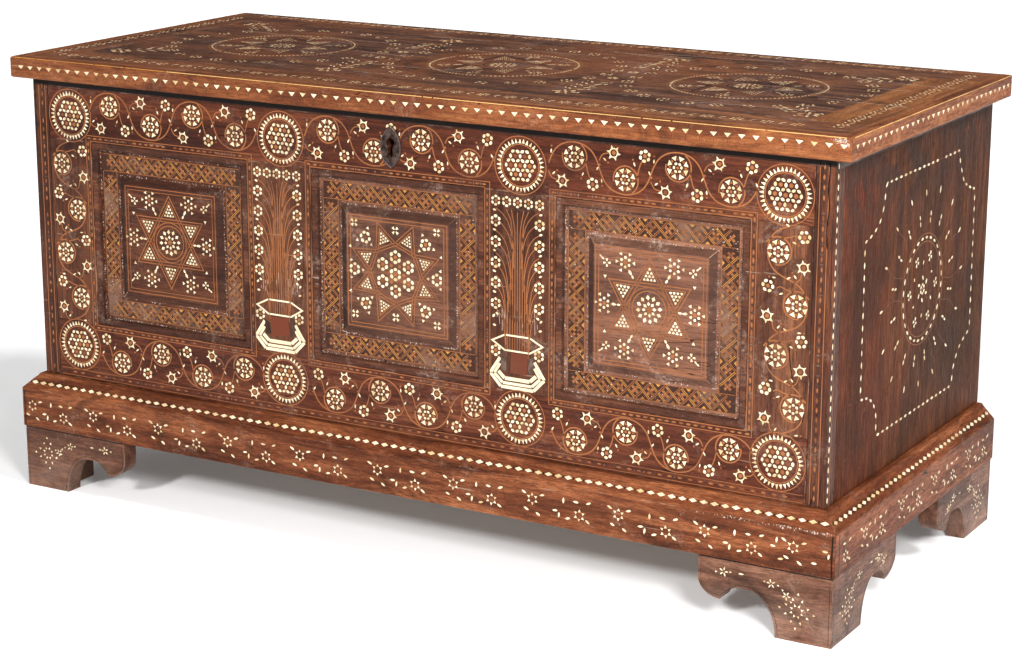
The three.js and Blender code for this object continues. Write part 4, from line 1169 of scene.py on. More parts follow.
@dataclass
class FrontInlay:
    """Everything let into the joined front: roundels, vines, plumed vases, panels and bandings."""

    motifs: Motifs
    finishes: Finishes
    roundel_x: tuple[float, ...] = (-572.0, -195.0, 191.5, 572.0)
    top_z: float = 577.0
    bottom_z: float = 229.0
    vine_top_z: float = 585.0
    vine_bottom_z: float = 223.0
    bays: tuple[Pair, ...] = ((-498.0, 75.0), (-115.5, 76.2), (272.0, 75.2))
    stile_x: float = 578.0
    stile_z: float = 302.0
    stile_step: float = 67.3
    muntin_x: tuple[float, ...] = (-202.5, 187.5)
    panel_x: tuple[float, ...] = (-394.5, -4.5, 385.5)
    panel_z: float = 403.0
    field_x: float = 83.5
    field_z: float = 81.5
    field_rise: float = 4.5
    field_lift: float = 2.2

    def build(self) -> None:
        """Lays and makes all of it."""
        self.work = Inlay("front", Face.front(level("rail_top", 0, 1)), seed=1)
        self._roundels()
        self._vines()
        self._bandings()
        for x in self.muntin_x:
            self._vase(x)
        self._cracks()
        self.work.build(self.finishes)
        top = level("panel_left", 0, 1)
        self.field = Inlay("fields", Face.front(top), seed=2)
        for bay, x in enumerate(self.panel_x):
            self._field_lines(x)
            if bay == 1:
                self._octagram(x - 2.5)
            else:
                self._hexagram(x - 1.5)
        self.field.build(self.finishes)
        ground = Face.front(top + self.field_rise)
        self.bed = Inlay("plait_bed", ground, rise=0.03)
        self.ground = Inlay("plaits", ground, rise=0.24, seed=3)
        for x in self.panel_x:
            self._plaits(x)
        self.bed.build(self.finishes)
        self.ground.build(self.finishes)
        self._crumbs(ground)

    def _cracks(self) -> None:
        """Drying cracks in the wood, the posts' open joints, and a painted shadow under the lid: a wide
        near-black strip with a thin dark line below it.
        """
        cracks = (([(631, 622), (629.5, 590), (631, 566), (629, 540), (630, 515)], 1.7),
                  ([(637, 560), (636, 520), (637.5, 470), (636.5, 430)], 0.8),
                  ([(583, 387), (585, 365), (588.5, 345), (591, 334)], 1.6),
                  ([(602, 306), (606, 297), (604, 287)], 1.5),
                  ([(-637, 620), (-636, 585), (-637.5, 550)], 1.3),
                  ([(-634, 470), (-633, 420), (-634.5, 380)], 0.7),
                  ([(-560, 262), (-568, 259), (-575, 262)], 0.8),
                  ([(243.5, 500), (243.8, 430), (243.2, 350)], 1.3),
                  ([(-146.5, 520), (-146, 460), (-146.8, 400)], 1.2),
                  ([(300, 256), (340, 257), (368, 256)], 0.8))
        for points, width in cracks:
            self.work.string(PITCH, smooth(points), width)
        for x in (-612.5, 612.5):
            self.work.string(PITCH, [(x, 180), (x, 625)], 0.7)
        # Painted shadow under the lid's overhang.
        for z, width, stuff in ((624.0, 8.8, PITCH), (618.6, 1.6, BOG)):
            self.work.string(stuff, [(-639, z), (639, z)], width)

    def _crumbs(self, ground: Face) -> None:
        """Grains of dust and old wax, thickest where the sunk grounds meet the mouldings and the fields."""
        work = Inlay("crumbs", ground, rise=0.5, seed=21)
        rows = ((128.4, 126.4, 0.8, 1.0), (94.4, 92.4, 1.0, 1.0), (112.0, 110.0, 1.6, 9.0))
        outer, inner = (129.2, 127.2), (93.2, 91.2)
        for x in self.panel_x:
            for half_x, half_z, pitch, spread in rows:
                places, _ = along(rectangle((x, self.panel_z), half_x, half_z), pitch, True)
                scatter = places + work.random.normal(0, spread, places.shape)
                off = abs(scatter - [x, self.panel_z])
                clump = np.sin(places[:, 0] * 0.11 + x) * np.cos(places[:, 1] * 0.13)
                clump = clump > work.random.normal(0, 0.6, len(places))
                kept = scatter[(off < outer).all(1) & (off > inner).any(1) & clump]
                size = 0.4 + 1.9 * work.random.random(len(kept)) ** 2.5
                work.chips(DUST, polygon(5, 0.62), kept, work.random.uniform(0, TAU, len(kept)), size)
        work.build(self.finishes)

    def _roundels(self) -> None:
        """The eight big roundels, with a fruitwood ring inside their teeth and one outside."""
        for x in self.roundel_x:
            for z in (self.top_z, self.bottom_z):
                self.work.motif(self.motifs.roundel, [(x, z)], 0.03 * math.sin(x + z))
                for radius in (28.0, 39.0):
                    self.work.string(FRUIT, circle((x, z), radius), 1.5, True)

    def _vines(self) -> None:
        """One vine in each bay of both rails and one in each stile."""
        vine = Vine(self.work, self.motifs)
        right, up = np.array([1.0, 0.0]), np.array([0.0, 1.0])
        for x, step in self.bays:
            vine.stem(np.array([x, self.vine_top_z]), right, up, step, 4)
            vine.stem(np.array([x + 6, self.vine_bottom_z]), right, -up, step, 4)
            for i, over in enumerate(OVER_UNDER):
                vine.flower((x + i * step, self.vine_top_z + 11.5 * over), right, over * up)
                vine.flower((x + 6 + i * step, self.vine_bottom_z - 12 * over), -right, -over * up)
        vine = Vine(self.work, self.motifs, swing=28.0)
        for side in (-1, 1):
            middle = side * self.stile_x
            vine.stem(np.array([middle, self.stile_z]), up, right, self.stile_step, 4)
            for i, over in enumerate(OVER_UNDER):
                centre = (middle + 13.5 * over, self.stile_z + i * self.stile_step)
                vine.flower(centre, up, over * right, 22.0, 40.0 if over * side > 0 else 35.0)

    def _banding(self, path: Points, closed: bool, half: float = 3.9, pitch: float = 10.5) -> None:
        """Lozenges in a row, dark and fruitwood by turns.

        Args:
            path: The row's middle line.
            closed: True for a loop.
            half: Half the row's width.
            pitch: From one fruitwood piece to the next.
        """
        places, turns = along(path, pitch, closed)
        self.work.chips(FRUIT, barrel(7.0, 3.4, 0.3), places, turns, lost=0.12)
        between, turns = along(path, pitch, closed, 0.0)
        self.work.chips(BOG, lozenge(3.0, 2 * half - 2.6), between, turns, lost=0.1)

    def _bandings(self) -> None:
        """Bandings round the openings and up the corner posts, and a narrow one along the foot."""
        for x in self.panel_x:
            for grow in (141.4, 149.2):
                self.work.string(FRUIT, rectangle((x, self.panel_z), grow, grow - 2), 1.3, True)
            self._banding(rectangle((x, self.panel_z), 145.3, 143.3), True)
        for side in (-1, 1):
            for x in (617.5, 629.5):
                self.work.string(FRUIT, [(side * x, 180), (side * x, 625)], 1.3)
            self._banding([(side * 623.5, 182), (side * 623.5, 624)], False, 4.4, 13.0)
        for z in (179.5, 189.5):
            self.work.string(FRUIT, [(-608, z), (608, z)], 1.1)
        self._banding([(-606, 184.5), (606, 184.5)], False, 3.2, 15.0)

    def _vase(self, x: float) -> None:
        """A bone-edged vase low on a muntin, and the plume of stringing that rises from it."""
        work = self.work

        def at(points: Iterable) -> Points:
            """Moves points drawn about the muntin's middle."""
            return np.array(points, float) + [x, 0.0]

        work.motif(self.motifs.rosette, at([(dx, 526.5) for dx in (-33.5, -16.7, 0, 16.7, 33.5)]), 0.0, 0.97)
        for side in (-1, 1):
            column = [(side * 33.6, z) for z in (499, 470.5, 442, 414, 385.5, 320)]
            work.motif(self.motifs.rosette, at(column), 0.0, 1.08)
            dots = [(side * 35.5, z) for z in (513.5, 486.5, 458, 429.5, 401.5, 355)]
            work.chips(BONE, barrel(5.2, 3.6), at(dots), 0.3 * side)
            leaf = [(side * 36.5, 368), (side * 31.5, 371.5)]
            work.chips(BONE, barrel(5.0, 3.8), at(leaf), [0.9, -0.5])
            for i in range(10):
                top, foot = 516 - 15.3 * i, 5.7 + 3.8 * min(i // 2, 3)
                frond = [(side * foot, top - 64), (side * (foot + 1.6), top - 42),
                         (side * (foot * 0.7 + 9.8), top - 19), (side * (foot * 0.3 + 22), top - 6),
                         (side * 33.5, top)]
                work.string(FRUIT, smooth(at(frond)), 1.4)
            for foot, top, end in ((3.8, 470, 9.5), (7.6, 440, 17.0), (11.4, 415, 0), (15.2, 390, 0),
                                   (18.6, 366, 0)):
                line = [(side * foot, 344.5), (side * foot, (344.5 + top) / 2), (side * foot, top)]
                if end:
                    line += [(side * (foot + 1.2), 493), (side * end, 516)]
                work.string(FRUIT, smooth(at(line)), 1.4)
        work.string(FRUIT, at([(0, 344.5), (0, 513)]), 1.3)
        for dx in np.arange(-4, 5) * 3.8:
            work.string(FRUIT, at([(dx, 323.5), (dx, 341)]), 1.0)
        for dx in np.arange(-8, 9) * 3.9:
            low, high = 347 + 22 * work.random.random(), 362 + 26 * work.random.random()
            work.string(DUST, at([(dx, low), (dx + work.random.normal(0, 0.5), high)]), 0.8)
        mouth = [(-39, 333.5), (-19.5, 343.2), (19.5, 343.2), (39, 333.5), (19.5, 322), (-19.5, 322)]
        work.string(BONE, at(mouth), 2.6, True)
        work.chips(RED, np.array([[-16, -15], [16, -15], [16, 14.5], [-16, 14.5]]), at([(0, 305.5)]))
        flank = np.array([[-4.2, -13], [4.2, -13], [4.2, 15], [-4.2, 15]])
        for side in (-1, 1):
            work.chips(BOG, flank, at([(side * 21.4, 305)]))
        outer = [(-26.5, 311), (-42, 287.5), (-25.5, 270.4), (25.5, 270.4), (42, 287.5), (26.5, 311)]
        inner = [(-26.5, 302.5), (-35.6, 288), (-22.6, 276), (22.6, 276), (35.6, 288), (26.5, 302.5)]
        lowest = [(-29.5, 291.5), (-19.5, 282.6), (19.5, 282.6), (29.5, 291.5)]
        for path, width in ((outer, 4.8), (inner, 4.2), (lowest, 5.4)):
            for a, b in pairwise(at(path)):
                cut_back = (b - a) / np.linalg.norm(b - a) * 0.35
                work.string(BONE, [a + cut_back, b - cut_back], width)

    def _field_lines(self, x: float) -> None:
        """Two fruitwood lines just inside a raised field's arris."""
        for inset, width in ((2.6, 1.3), (7.6, 1.2)):
            line = rectangle((x, self.panel_z), self.field_x - inset, self.field_z - inset)
            self.field.string(FRUIT, line, width, True)

    def _double(self, corners: Points) -> None:
        """A closed outline and a second one inside it: each side moved inwards by the gap."""
        gap, width = 4.3, 1.5
        middle = corners.mean(0)
        edge = corners[1] - corners[0]
        mid = (corners[1] + corners[0]) / 2 - middle
        inward = abs(edge[0] * mid[1] - edge[1] * mid[0]) / np.linalg.norm(edge)
        for line in (corners, middle + (corners - middle) * (1 - gap / inward)):
            self.field.string(FRUIT, line, width, True)

    def _hexagram(self, x: float) -> None:
        """A six-pointed star of double lines, a rosette in two rings, and flowers in the corners."""
        work, centre = self.field, np.array([x, self.panel_z + self.field_lift])
        for turn in (math.pi / 2, -math.pi / 2):
            self._double(centre + polygon(3, 69.0, turn))
        for radius in (29.4, 24.6):
            work.string(FRUIT, circle(centre, radius), 1.5, True)
        work.motif(self.motifs.dozen, [centre], 0.12)
        tips = np.radians(90 + 60 * np.arange(6))
        outward = heading(tips)
        work.motif(self.motifs.pyramid, centre + 46 * outward, tips)
        flower_at = np.array([(66, 1), (35.5, 59), (-35.5, 59), (-66, 1), (-35.5, -58), (35.5, -58)])
        work.motif(self.motifs.stalked, centre + flower_at, np.radians(60 * np.arange(6)) + math.pi)
        slanting = [1, 2, 4, 5]
        work.chips(BONE, polygon(3, 3.0), centre + outward[slanting] * 75.0, tips[slanting])
        corners = np.array([(62.5, 55.5), (-62.5, 55.5), (-62.5, -56), (62.5, -56)])
        work.motif(self.motifs.sprig, centre + corners, np.arctan2(corners[:, 1], corners[:, 0]), 0.92)

    def _octagram(self, x: float) -> None:
        """An eight-pointed star of double lines round an octagon, with seven rosettes inside."""
        work, centre = self.field, np.array([x, self.panel_z + self.field_lift])
        turns = around(16) + TAU / 16
        for radii, width in (((76.0, 44.5), 1.5), ((66.5, 38.8), 1.4)):
            star = centre + np.tile(radii, 8)[:, None] * heading(turns)
            work.string(FRUIT, star, width, True)
        for radius in (44.5, 40.4):
            work.string(FRUIT, centre + polygon(8, radius), 1.4, True)
        tips = turns[::2]
        work.motif(self.motifs.pyramid, centre + 52.5 * heading(tips), tips, 0.86)
        hexagon = np.vstack([[0, 0], polygon(6, 24.2, TAU / 12)])
        work.motif(self.motifs.rosette, centre + hexagon, 0.0, 1.27)
        work.chips(FRUIT, polygon(6, 2.9), centre + polygon(6, 13.6), 0.0)
        flowers = np.array([(49, 47), (-49, 47), (-49, -47), (49, -47), (67, 0), (-67, 0)])
        away = np.arctan2(flowers[:, 1], flowers[:, 0]) + math.pi
        work.motif(self.motifs.rosette, centre + flowers, away, 1.2)
        for degrees in (0, 115, -115):
            lean = away + math.radians(degrees)
            work.chips(BONE, drop(5.0, 4.6), centre + flowers + 12.4 * heading(lean), lean)
        crosses = centre + [(0, 61.5), (0, -61.5), (67, 66), (-67, 66), (-67, -64), (67, -64)]
        work.motif(self.motifs.cross, crosses)
        work.chips(BONE, polygon(3, 3.0), centre + [(-74, 32), (74, 32), (-74, -32)], 1.2)

    def _plaits(self, x: float) -> None:
        """The plaited border on a panel's sunk ground: two long strips and two between them."""
        wide, tall, half = 111.25, 109.25, 11.4
        corner = half + 0.4
        for quarter in range(4):
            level_strip = quarter % 2 == 0
            run, out = (wide + corner, tall) if level_strip else (tall - corner, wide)
            ahead = heading(quarter * math.pi / 2)
            middle = np.array([x, self.panel_z]) + out * np.array([ahead[1], -ahead[0]])
            self._strip(middle, ahead, run, 11 if level_strip else 9, half)

    def _strip(self, middle: Points, ahead: Points, run: float, repeats: int, half: float) -> None:
        """One plaited strip: two families of bands cross and hold squares of five chips between them.

        With the pitch p and the half width h, bands run from (k p, -h) to (k p + p, h) and, of two
        fine lines each, from (k p, h) to (k p + p, -h). They pass over and under by turns.

        Args:
            middle: The strip's middle.
            ahead: Unit vector along it.
            run: Half its length.
            repeats: How many diamonds it has.
            half: Half its width.
        """
        side = np.array([-ahead[1], ahead[0]])
        pitch = 2 * run / repeats
        turn = math.atan2(ahead[1], ahead[0])

        def put(points: Iterable) -> Points:
            """Turns points drawn along and across the strip to the face."""
            drawn = np.atleast_2d(np.array(points, float))
            return middle + drawn[:, :1] * ahead + drawn[:, 1:] * side

        self.bed.string(BED, put([(-run, 0), (run, 0)]), 2 * half + 1.6)
        for v in (-half - 1.1, half + 1.1):
            self.ground.string(FRUIT, put([(-run + 1, v), (run - 1, v)]), 1.0)
        lean = math.atan2(half, pitch / 2)
        over = heading(lean)
        under = over * [1, -1]
        slope = math.hypot(pitch / 2, half)
        reach = slope - 0.9
        gap = 1.9 / math.sin(2 * lean)
        for k in range(repeats - 1):
            cross = np.array([-run + (k + 1) * pitch, 0.0])
            for way, stuff, width, broken in ((over, FRUIT, 1.0, k % 2 == 0),
                                              (under, BOX, 0.95, k % 2 == 1)):
                spans = ((-reach, -gap), (gap, reach)) if broken else ((-reach, reach),)
                for row in (-1.05, 1.05):
                    line = cross + row * np.array([-way[1], way[0]])
                    for a, b in spans:
                        self.ground.string(stuff, put([line + a * way, line + b * way]), width)
            for v in (-1, 1):
                self.ground.chips(BOX if k % 3 else FRUIT, drop(7.4, 3.7),
                                  put([cross + [0, v * (half + 0.2)]]), turn - v * math.pi / 2, lost=0.06)
        cell = (slope - 3.6) / 3
        a, b = over * cell / 2, under * cell / 2
        square = np.array([a + b, a - b, -a - b, b - a]) * 0.93
        centres = np.array([(-run + (k + 0.5) * pitch, 0.0) for k in range(repeats)])
        for step in (0 * over, over * cell, -over * cell, under * cell, -under * cell):
            self.ground.chips(FRUIT, square, put(centres + step), turn, lost=0.05)


@dataclass
class LidInlay:
    """The lid's three medallions, its scattered florets, its border rows and its toothed edges."""

    motifs: Motifs
    finishes: Finishes
    shift_y: float = 7.85
    medallions: tuple[Pair, ...] = ((-384.0, -3.0), (3.0, -1.0), (389.0, 2.0))
    radius: float = 108.0

    def build(self) -> None:
        """Lays and makes all of it."""
        face = Face((0, self.shift_y, level("lid_field", 1, 2)), (1, 0, 0), (0, 1, 0))
        self.work = Inlay("lid", face, "lid", seed=4, aged=True)
        for centre in self.medallions:
            self._medallion(np.array(centre))
        self._scatter()
        self._branches()
        self._border()
        self._scratches()
        self.work.build(self.finishes)
        self._edges()

    def _medallion(self, centre: Points) -> None:
        """A ring of chips round a six-pointed star, with a sheaf in each point and florets between two."""
        work, motifs = self.work, self.motifs
        places, turns = along(circle(centre, self.radius), 6.1, True)
        work.chips(BONE, barrel(3.3, 3.9, 0.35), places, turns + 0.25, lost=0.03)
        for radius in (self.radius - 4.6, self.radius + 4.6):
            work.string(FRUIT, circle(centre, radius), 1.1, True)
        for turn, stuff, width in ((0.0, BOG, 4.0), (math.pi, RED, 2.6)):
            work.string(stuff, centre + polygon(3, 98.0, turn), width, True)
            work.string(RED, centre + polygon(3, 86.0, turn), 1.2, True)
        work.string(BOG, circle(centre, 30.0), 2.0, True)
        work.motif(motifs.lid_star, [centre + [0, -3]], 0.1)
        points = around(6)
        spokes = points + TAU / 12
        work.motif(motifs.sheaf, centre + 62 * heading(points), points)
        work.motif(motifs.stalked_floret, centre + 87 * heading(spokes), spokes, 1.05)

    def _scatter(self) -> None:
        """A ring of open florets round each medallion, kept inside the field and off the other rings."""
        for (cx, cy), first in zip(self.medallions, (-90.5, -84.4, -93.7)):
            angle = around(26, first)
            at = np.array([cx, cy]) + 169 * heading(angle)
            inside = (abs(at[:, 1]) < 186) & (at[:, 0] > -572) & (at[:, 0] < 570)
            for ox, oy in self.medallions:
                if ox != cx:
                    inside &= np.hypot(at[:, 0] - ox, at[:, 1] - oy) > (171 if cx < ox else 190)
            self.work.motif(self.motifs.floret, at[inside], angle[inside], 1.2, lost=0.05)

    def _scratches(self) -> None:
        """Long pale scratches, most of them with the grain, and a few old cracks filled with wax."""
        lots = self.work.random
        for _ in range(26):
            start = lots.uniform((-600, -210), (560, 230))
            run, rise = min(lots.uniform(30, 190), 640 - start[0]), lots.normal(0, 9)
            steps = [(0, 0), (run / 3, rise * 0.6), (run * 0.7, rise * 0.8), (run, rise)]
            self.work.string(DUST, smooth(start + steps), lots.uniform(0.35, 0.8))
        for _ in range(14):
            start = lots.uniform((-600, -240), (520, 240))
            run = min(lots.uniform(60, 260), 640 - start[0])
            path = [start, start + [run / 2, lots.normal(0, 1.5)], start + [run, lots.normal(0, 2.5)]]
            self.work.string(PITCH, smooth(path), lots.uniform(0.5, 1.1))

    def _branches(self) -> None:
        """Sprays between each two medallions and in the field's corners: a flower with leaves in pairs."""
        for x in (-190.0, 196.0):
            for way in (-1, 1):
                self._spray((x, 168.0 * way), -way * math.pi / 2, 5)
            self.work.motif(self.motifs.rosette, [(x, -32), (x, 30)], 0.0, 1.1)
        for x, way in ((-562.0, 1), (552.0, -1)):
            for end in (-1, 1):
                self._spray((x, 172.0 * end), math.atan2(-end, way), 3)

    def _spray(self, root: Pair, turn: float, pairs: int) -> None:
        """A flower at its root and pairs of leaves along a stem that runs from it.

        Args:
            root: The flower's middle.
            turn: The stem's direction in radians.
            pairs: How many pairs of leaves it has.
        """
        ahead = heading(turn)
        aside = np.array([-ahead[1], ahead[0]])
        root = np.array(root)
        self.work.motif(self.motifs.lid_flower, [root], turn, 1.9)
        self.work.string(FRUIT, [root + 18 * ahead, root + (22 + 17 * pairs) * ahead], 1.5)
        steps = root + (28 + 16.0 * np.arange(pairs))[:, None] * ahead
        for side in (-1, 1):
            leaves = steps + side * 9.0 * aside
            self.work.chips(BONE, barrel(12.0, 4.2, 0.25), leaves, turn + side * 0.7, lost=0.08)
            self.work.chips(BONE, barrel(8.0, 3.4, 0.25), leaves + side * 9.0 * aside + 5 * ahead,
                            turn + side * 0.4, lost=0.1)
            self.work.chips(BONE, barrel(9.0, 3.6, 0.3), [root + side * 19 * aside], turn)

    def _border(self) -> None:
        """Rows of florets along the lid's four borders, with a pair of leaves between each two."""
        rows = (((-612, -246), (590, -246), 41.0), ((-612, 262), (598, 262), 41.0),
                ((620, -238), (620, 256), 36.0), ((-634, -232), (-634, 240), 38.0))
        for start, end, pitch in rows:
            places, turns = along([start, end], pitch)
            self.work.motif(self.motifs.lid_flower, places, turns, 1.1)
            between, turns = along([start, end], pitch, offset=0.0)
            for side in (-1, 1):
                lean = turns + side * 0.6
                at = between + 4.6 * side * np.stack([-np.sin(turns), np.cos(turns)], 1)
                self.work.chips(BONE, barrel(8.0, 2.8, 0.3), at, lean)
        for inset_x, inset_y in ((652, 273), (648, 269)):
            self.work.string(FRUIT, rectangle((0, -9), inset_x, inset_y), 1.2, True)

    def _edges(self) -> None:
        """Bone teeth along the nosing's front and sides, each with thin red slivers under it."""
        z = level("lid_nosing_front", 1, 2)
        sides = [("front", Face.front(level("lid_nosing_front", 0, 1), z), -658.0, 658.0)]
        for name, corner, way in ENDS:
            face = Face.end(level(f"lid_nosing_{name}", corner, 0), way, self.shift_y, z)
            sides.append((name, face, *sorted((way * -292.0, way * 276.0))))
        for name, face, start, end in sides:
            work = Inlay(f"lid_edge_{name}", face, "lid", seed=6)
            breaks = np.sort(work.random.uniform(start + 20, end - 20, 9))
            for left, right in zip([start, *(breaks + 1.4)], [*(breaks - 1.4), end]):
                if right - left > 3:
                    stuff = BOX if name == "front" and right < 0 else STRAW
                    work.string(stuff, [(left, -0.8), (right, -0.8)], 1.0)
            if name == "front":
                step = np.arange(71)
                x = -646 + 17.567 * step + 0.01455 * step**2
                places = np.stack([x, -10.6 + 1.75 * np.tanh(x / 180)], 1)
                for k in range(4):
                    split = [(642 + 3 * k, -2), (649 + 2 * k, -6), (662, -8.5 - 1.2 * k)]
                    work.string(DUST, smooth(split), 0.6)
                flakes = work.random.normal([[655, -5]], [[7, 3]], (60, 2))
                flakes = flakes[(flakes[:, 0] < 664) & (flakes[:, 1] < -2)]
                sizes = work.random.uniform(0.4, 2.0, len(flakes))
                work.chips(DUST, polygon(5, 0.8), flakes, 0.0, sizes)
            else:
                places, _ = along([(start, -10.6), (end, -10.6)], 18.6)
            work.chips(BONE, np.array([[5.1, 0], [-5.1, 0], [0, -5.6]]), places)
            work.chips(RED, lozenge(1.3, 8.6), places - [0, 10.5], lost=0.08)
            for lean in (-0.5, 0.5):
                work.chips(RED, lozenge(0.8, 8.5), places + [lean * 7.0, -11.5], -lean, lost=0.3)
            work.build(self.finishes)


@dataclass
class SideInlay:
    """Each end board's inlay and its post's, and a dark strip under the lid that is a painted shadow.

    A dotted, notched outline lies round a ring of lozenges, with flowers inside it and sprigs
    outside it.
    """

    motifs: Motifs
    finishes: Finishes
    shift_y: float = 7.85
    centre: Pair = (32.0, 399.0)
    radius: float = 71.0

    def build(self) -> None:
        """Lays it on the right end, as the photograph shows, and mirrored on the left."""
        for name, corner, way in ENDS:
            face = Face.end(level(f"side_{name}", corner, 0), way, self.shift_y)
            work = Inlay(f"end_{name}", face, seed=7 + corner)
            self._outline(work, way)
            self._ring(work, way)
            # Painted shadow under the lid's overhang: a dark strip along the top of the end board.
            work.string(BOG, [(-279 * way, 621.6), (279 * way, 621.6)], 13.6)
            work.build(self.finishes)
            edge = Inlay(f"post_{name}", face, seed=9 + corner)
            places, turns = along([(-277.0 * way, 180), (-277.0 * way, 626)], 13.4)
            edge.chips(BONE, barrel(8.2, 4.2, 0.3), places, turns)
            edge.string(FRUIT, [(-271.5 * way, 178), (-271.5 * way, 628)], 1.1)
            edge.build(self.finishes)

    def _outline(self, work: Inlay, way: int) -> None:
        """Dots along straight sides and hollow notched corners."""
        line = [way, 1] * np.vstack([
            [(-178, 300), (-181, 500)],
            smooth([(-181, 504), (-157, 510), (-134, 522), (-121, 542), (-117, 565)]),
            [(-112, 570), (151, 570)],
            smooth([(155, 562), (164, 544), (178, 523), (199, 512), (221, 505)]),
            [(224, 500), (229, 305)],
            smooth([(224, 297), (203, 289), (184, 277), (170, 258), (165, 238)]),
            [(158, 231), (-113, 231)],
            smooth([(-119, 238), (-122, 262), (-134, 280), (-154, 291), (-174, 294)])])
        work.string(RED, line, 0.9, True)
        places, turns = along(line, 16.6, True)
        work.chips(BONE, barrel(8.2, 4.4, 0.35), places, turns, lost=0.02)

    def _ring(self, work: Inlay, way: int) -> None:
        """The ring, its centre flower and six more, and pairs of sprigs round the outside."""
        centre = np.array(self.centre) * np.array([way, 1])
        places, turns = along(circle(centre, self.radius), 16.0, True)
        work.chips(BONE, barrel(8.4, 4.6, 0.35), places, turns)
        for radius in (self.radius - 5.5, self.radius + 5.5):
            work.string(FRUIT, circle(centre, radius), 0.9, True)
        work.motif(self.motifs.rosette, [centre], 0.0, 1.1)
        work.chips(BONE, barrel(7.4, 4.6), centre + polygon(6, 15.5, TAU / 12), around(6) + TAU / 6)
        work.motif(self.motifs.cross, centre + polygon(6, 48.0), 0.4, 1.1)
        work.chips(BONE, barrel(5.6, 4.0), centre + polygon(6, 37.0, TAU / 12), around(6))
        for radius, first, length in ((92.0, 11.0, 8.0), (101.0, 11.0, 7.0), (133.0, 0.0, 9.5)):
            angle = around(16, first)
            stretch = 1.0 + 0.12 * abs(np.cos(angle))
            at = centre + (radius * stretch)[:, None] * heading(angle)
            work.chips(BONE, barrel(length, 4.2, 0.35), at, angle + 0.15)
        for i, away in enumerate(heading(around(16))):
            stretch = 1.0 + 0.12 * abs(away[0])
            bend = np.array([-away[1], away[0]]) * (6 if i % 2 else -6)
            start, end = centre + 80 * away, centre + 127 * stretch * away
            work.string(RED, smooth([start, (start + end) / 2 + bend, end]), 0.9)


@dataclass
class PlinthInlay:
    """Lozenges along the plinth's slope and star flowers with leaf slivers on its upright face."""

    motifs: Motifs
    finishes: Finishes
    shift_y: float = 7.85
    slope: float = 25.4
    arris: float = 155.0
    flower_x: tuple[float, ...] = (-648, -588, -530, -466, -408, -338, -281, -213, -154, -89, -22, 40, 102,
                                   163, 227, 299, 358, 428, 484, 551, 609)
    flower_y: tuple[float, ...] = (-275, -210, -153, -80, -20, 42, 113, 177, 240)
    beside_low: tuple[Triple, ...] = (
        (-24, 17, 88), (-5, 18, -5), (14, 19, 22), (-37, 1, 5), (-31, -4, 84), (-17, -7, 15), (12.5, -7, -32))
    beside_high: tuple[Triple, ...] = (
        (-13, 8.5, -28), (15, 7.5, 15), (-9, -15, -22), (9, -20, -32))
    last: tuple[Triple, ...] = (
        (586, 135, 82), (581, 126, -4), (592, 110, 8), (638, 112, 0), (653, 130, 0), (658, 124, 80))

    def build(self) -> None:
        """Lays the front, the right side and, as its mirror, the left."""
        front, half = level("plinth_front", 0, 1), math.sqrt(0.5)
        self._dress("front", Face.front(front), Face((0, front, self.arris), (1, 0, 0), (0, half, half)),
                    self.flower_x, (-655.0, 655.0), (-664.0, 664.0))
        for name, corner, way in ENDS:
            x = level(f"plinth_{name}", corner, 0)
            ends = tuple(sorted((way * -297.0, way * 280.0)))
            self._dress(name, Face.end(x, way, self.shift_y),
                        Face((x, self.shift_y, self.arris), (0, way, 0), (-way * half, 0, half)),
                        tuple(way * y for y in self.flower_y), ends, ends)

    def _dress(self, name: str, fascia: Face, slope: Face, flowers: tuple[float, ...],
               ends: Pair, reach: Pair) -> None:
        """One side's slope and upright face.

        Args:
            name: The side's name.
            fascia: Its upright face.
            slope: The slope over it.
            flowers: Where the flowers lie along it.
            ends: Where the slope's lozenges start and end.
            reach: Where the upright face itself starts and ends.
        """
        chamfer = Inlay(f"plinth_slope_{name}", slope, seed=11)
        middle = self.slope * 0.5
        path = [(ends[0], middle), (ends[1], middle)]
        places, turns = along(path, 15.4)
        chamfer.chips(BONE, lozenge(12.2, 6.4), places, turns)
        between, turns = along(path, 15.4, offset=0.0)
        chamfer.chips(PITCH, lozenge(2.6, 6.0), between, turns, lost=0.2)
        for at in (middle - 5.4, middle + 5.4):
            chamfer.string(RED, [(ends[0], at), (ends[1], at)], 1.0)
        chamfer.build(self.finishes)
        work = Inlay(f"plinth_face_{name}", fascia, seed=12)
        first_high = name == "front"
        for i, x in enumerate(flowers):
            high = (i % 2 == 0) == first_high
            z = 128.5 if high else 117.0
            work.motif(self.motifs.plinth_star, [(x, z)], 0.08 * math.sin(3 * x))
            for dx, dz, degrees in self.beside_high if high else self.beside_low:
                if reach[0] + 6 < x + dx < reach[1] - 6:
                    work.chips(BONE, lens(8.8, 3.1), [(x + dx, z + dz)], math.radians(degrees))
        if first_high:
            for x, z, degrees in self.last:
                work.chips(BONE, lens(8.8, 3.1), [(x, z)], math.radians(degrees))
            chipped = work.random.normal([[620, 154.2]], [[70, 1.6]], (190, 2))
            chipped = chipped[(chipped[:, 0] < 663) & (chipped[:, 1] < 154.9)]
            work.chips(DUST, polygon(5, 1.0), chipped, work.random.uniform(0, TAU, len(chipped)),
                       work.random.uniform(0.3, 1.5, len(chipped)))
        for end, inwards in ((reach[0], 1), (reach[1], -1)):
            if abs(end) > 290 and (first_high or end * (1 if name == "right" else -1) < 0):
                gap = end + inwards * (1.2 if first_high else 0.4)
                work.string(PITCH, [(gap, 96.0), (gap + inwards * 0.7, 120.0), (gap, 152.0)], 2.4)
        work.build(self.finishes)


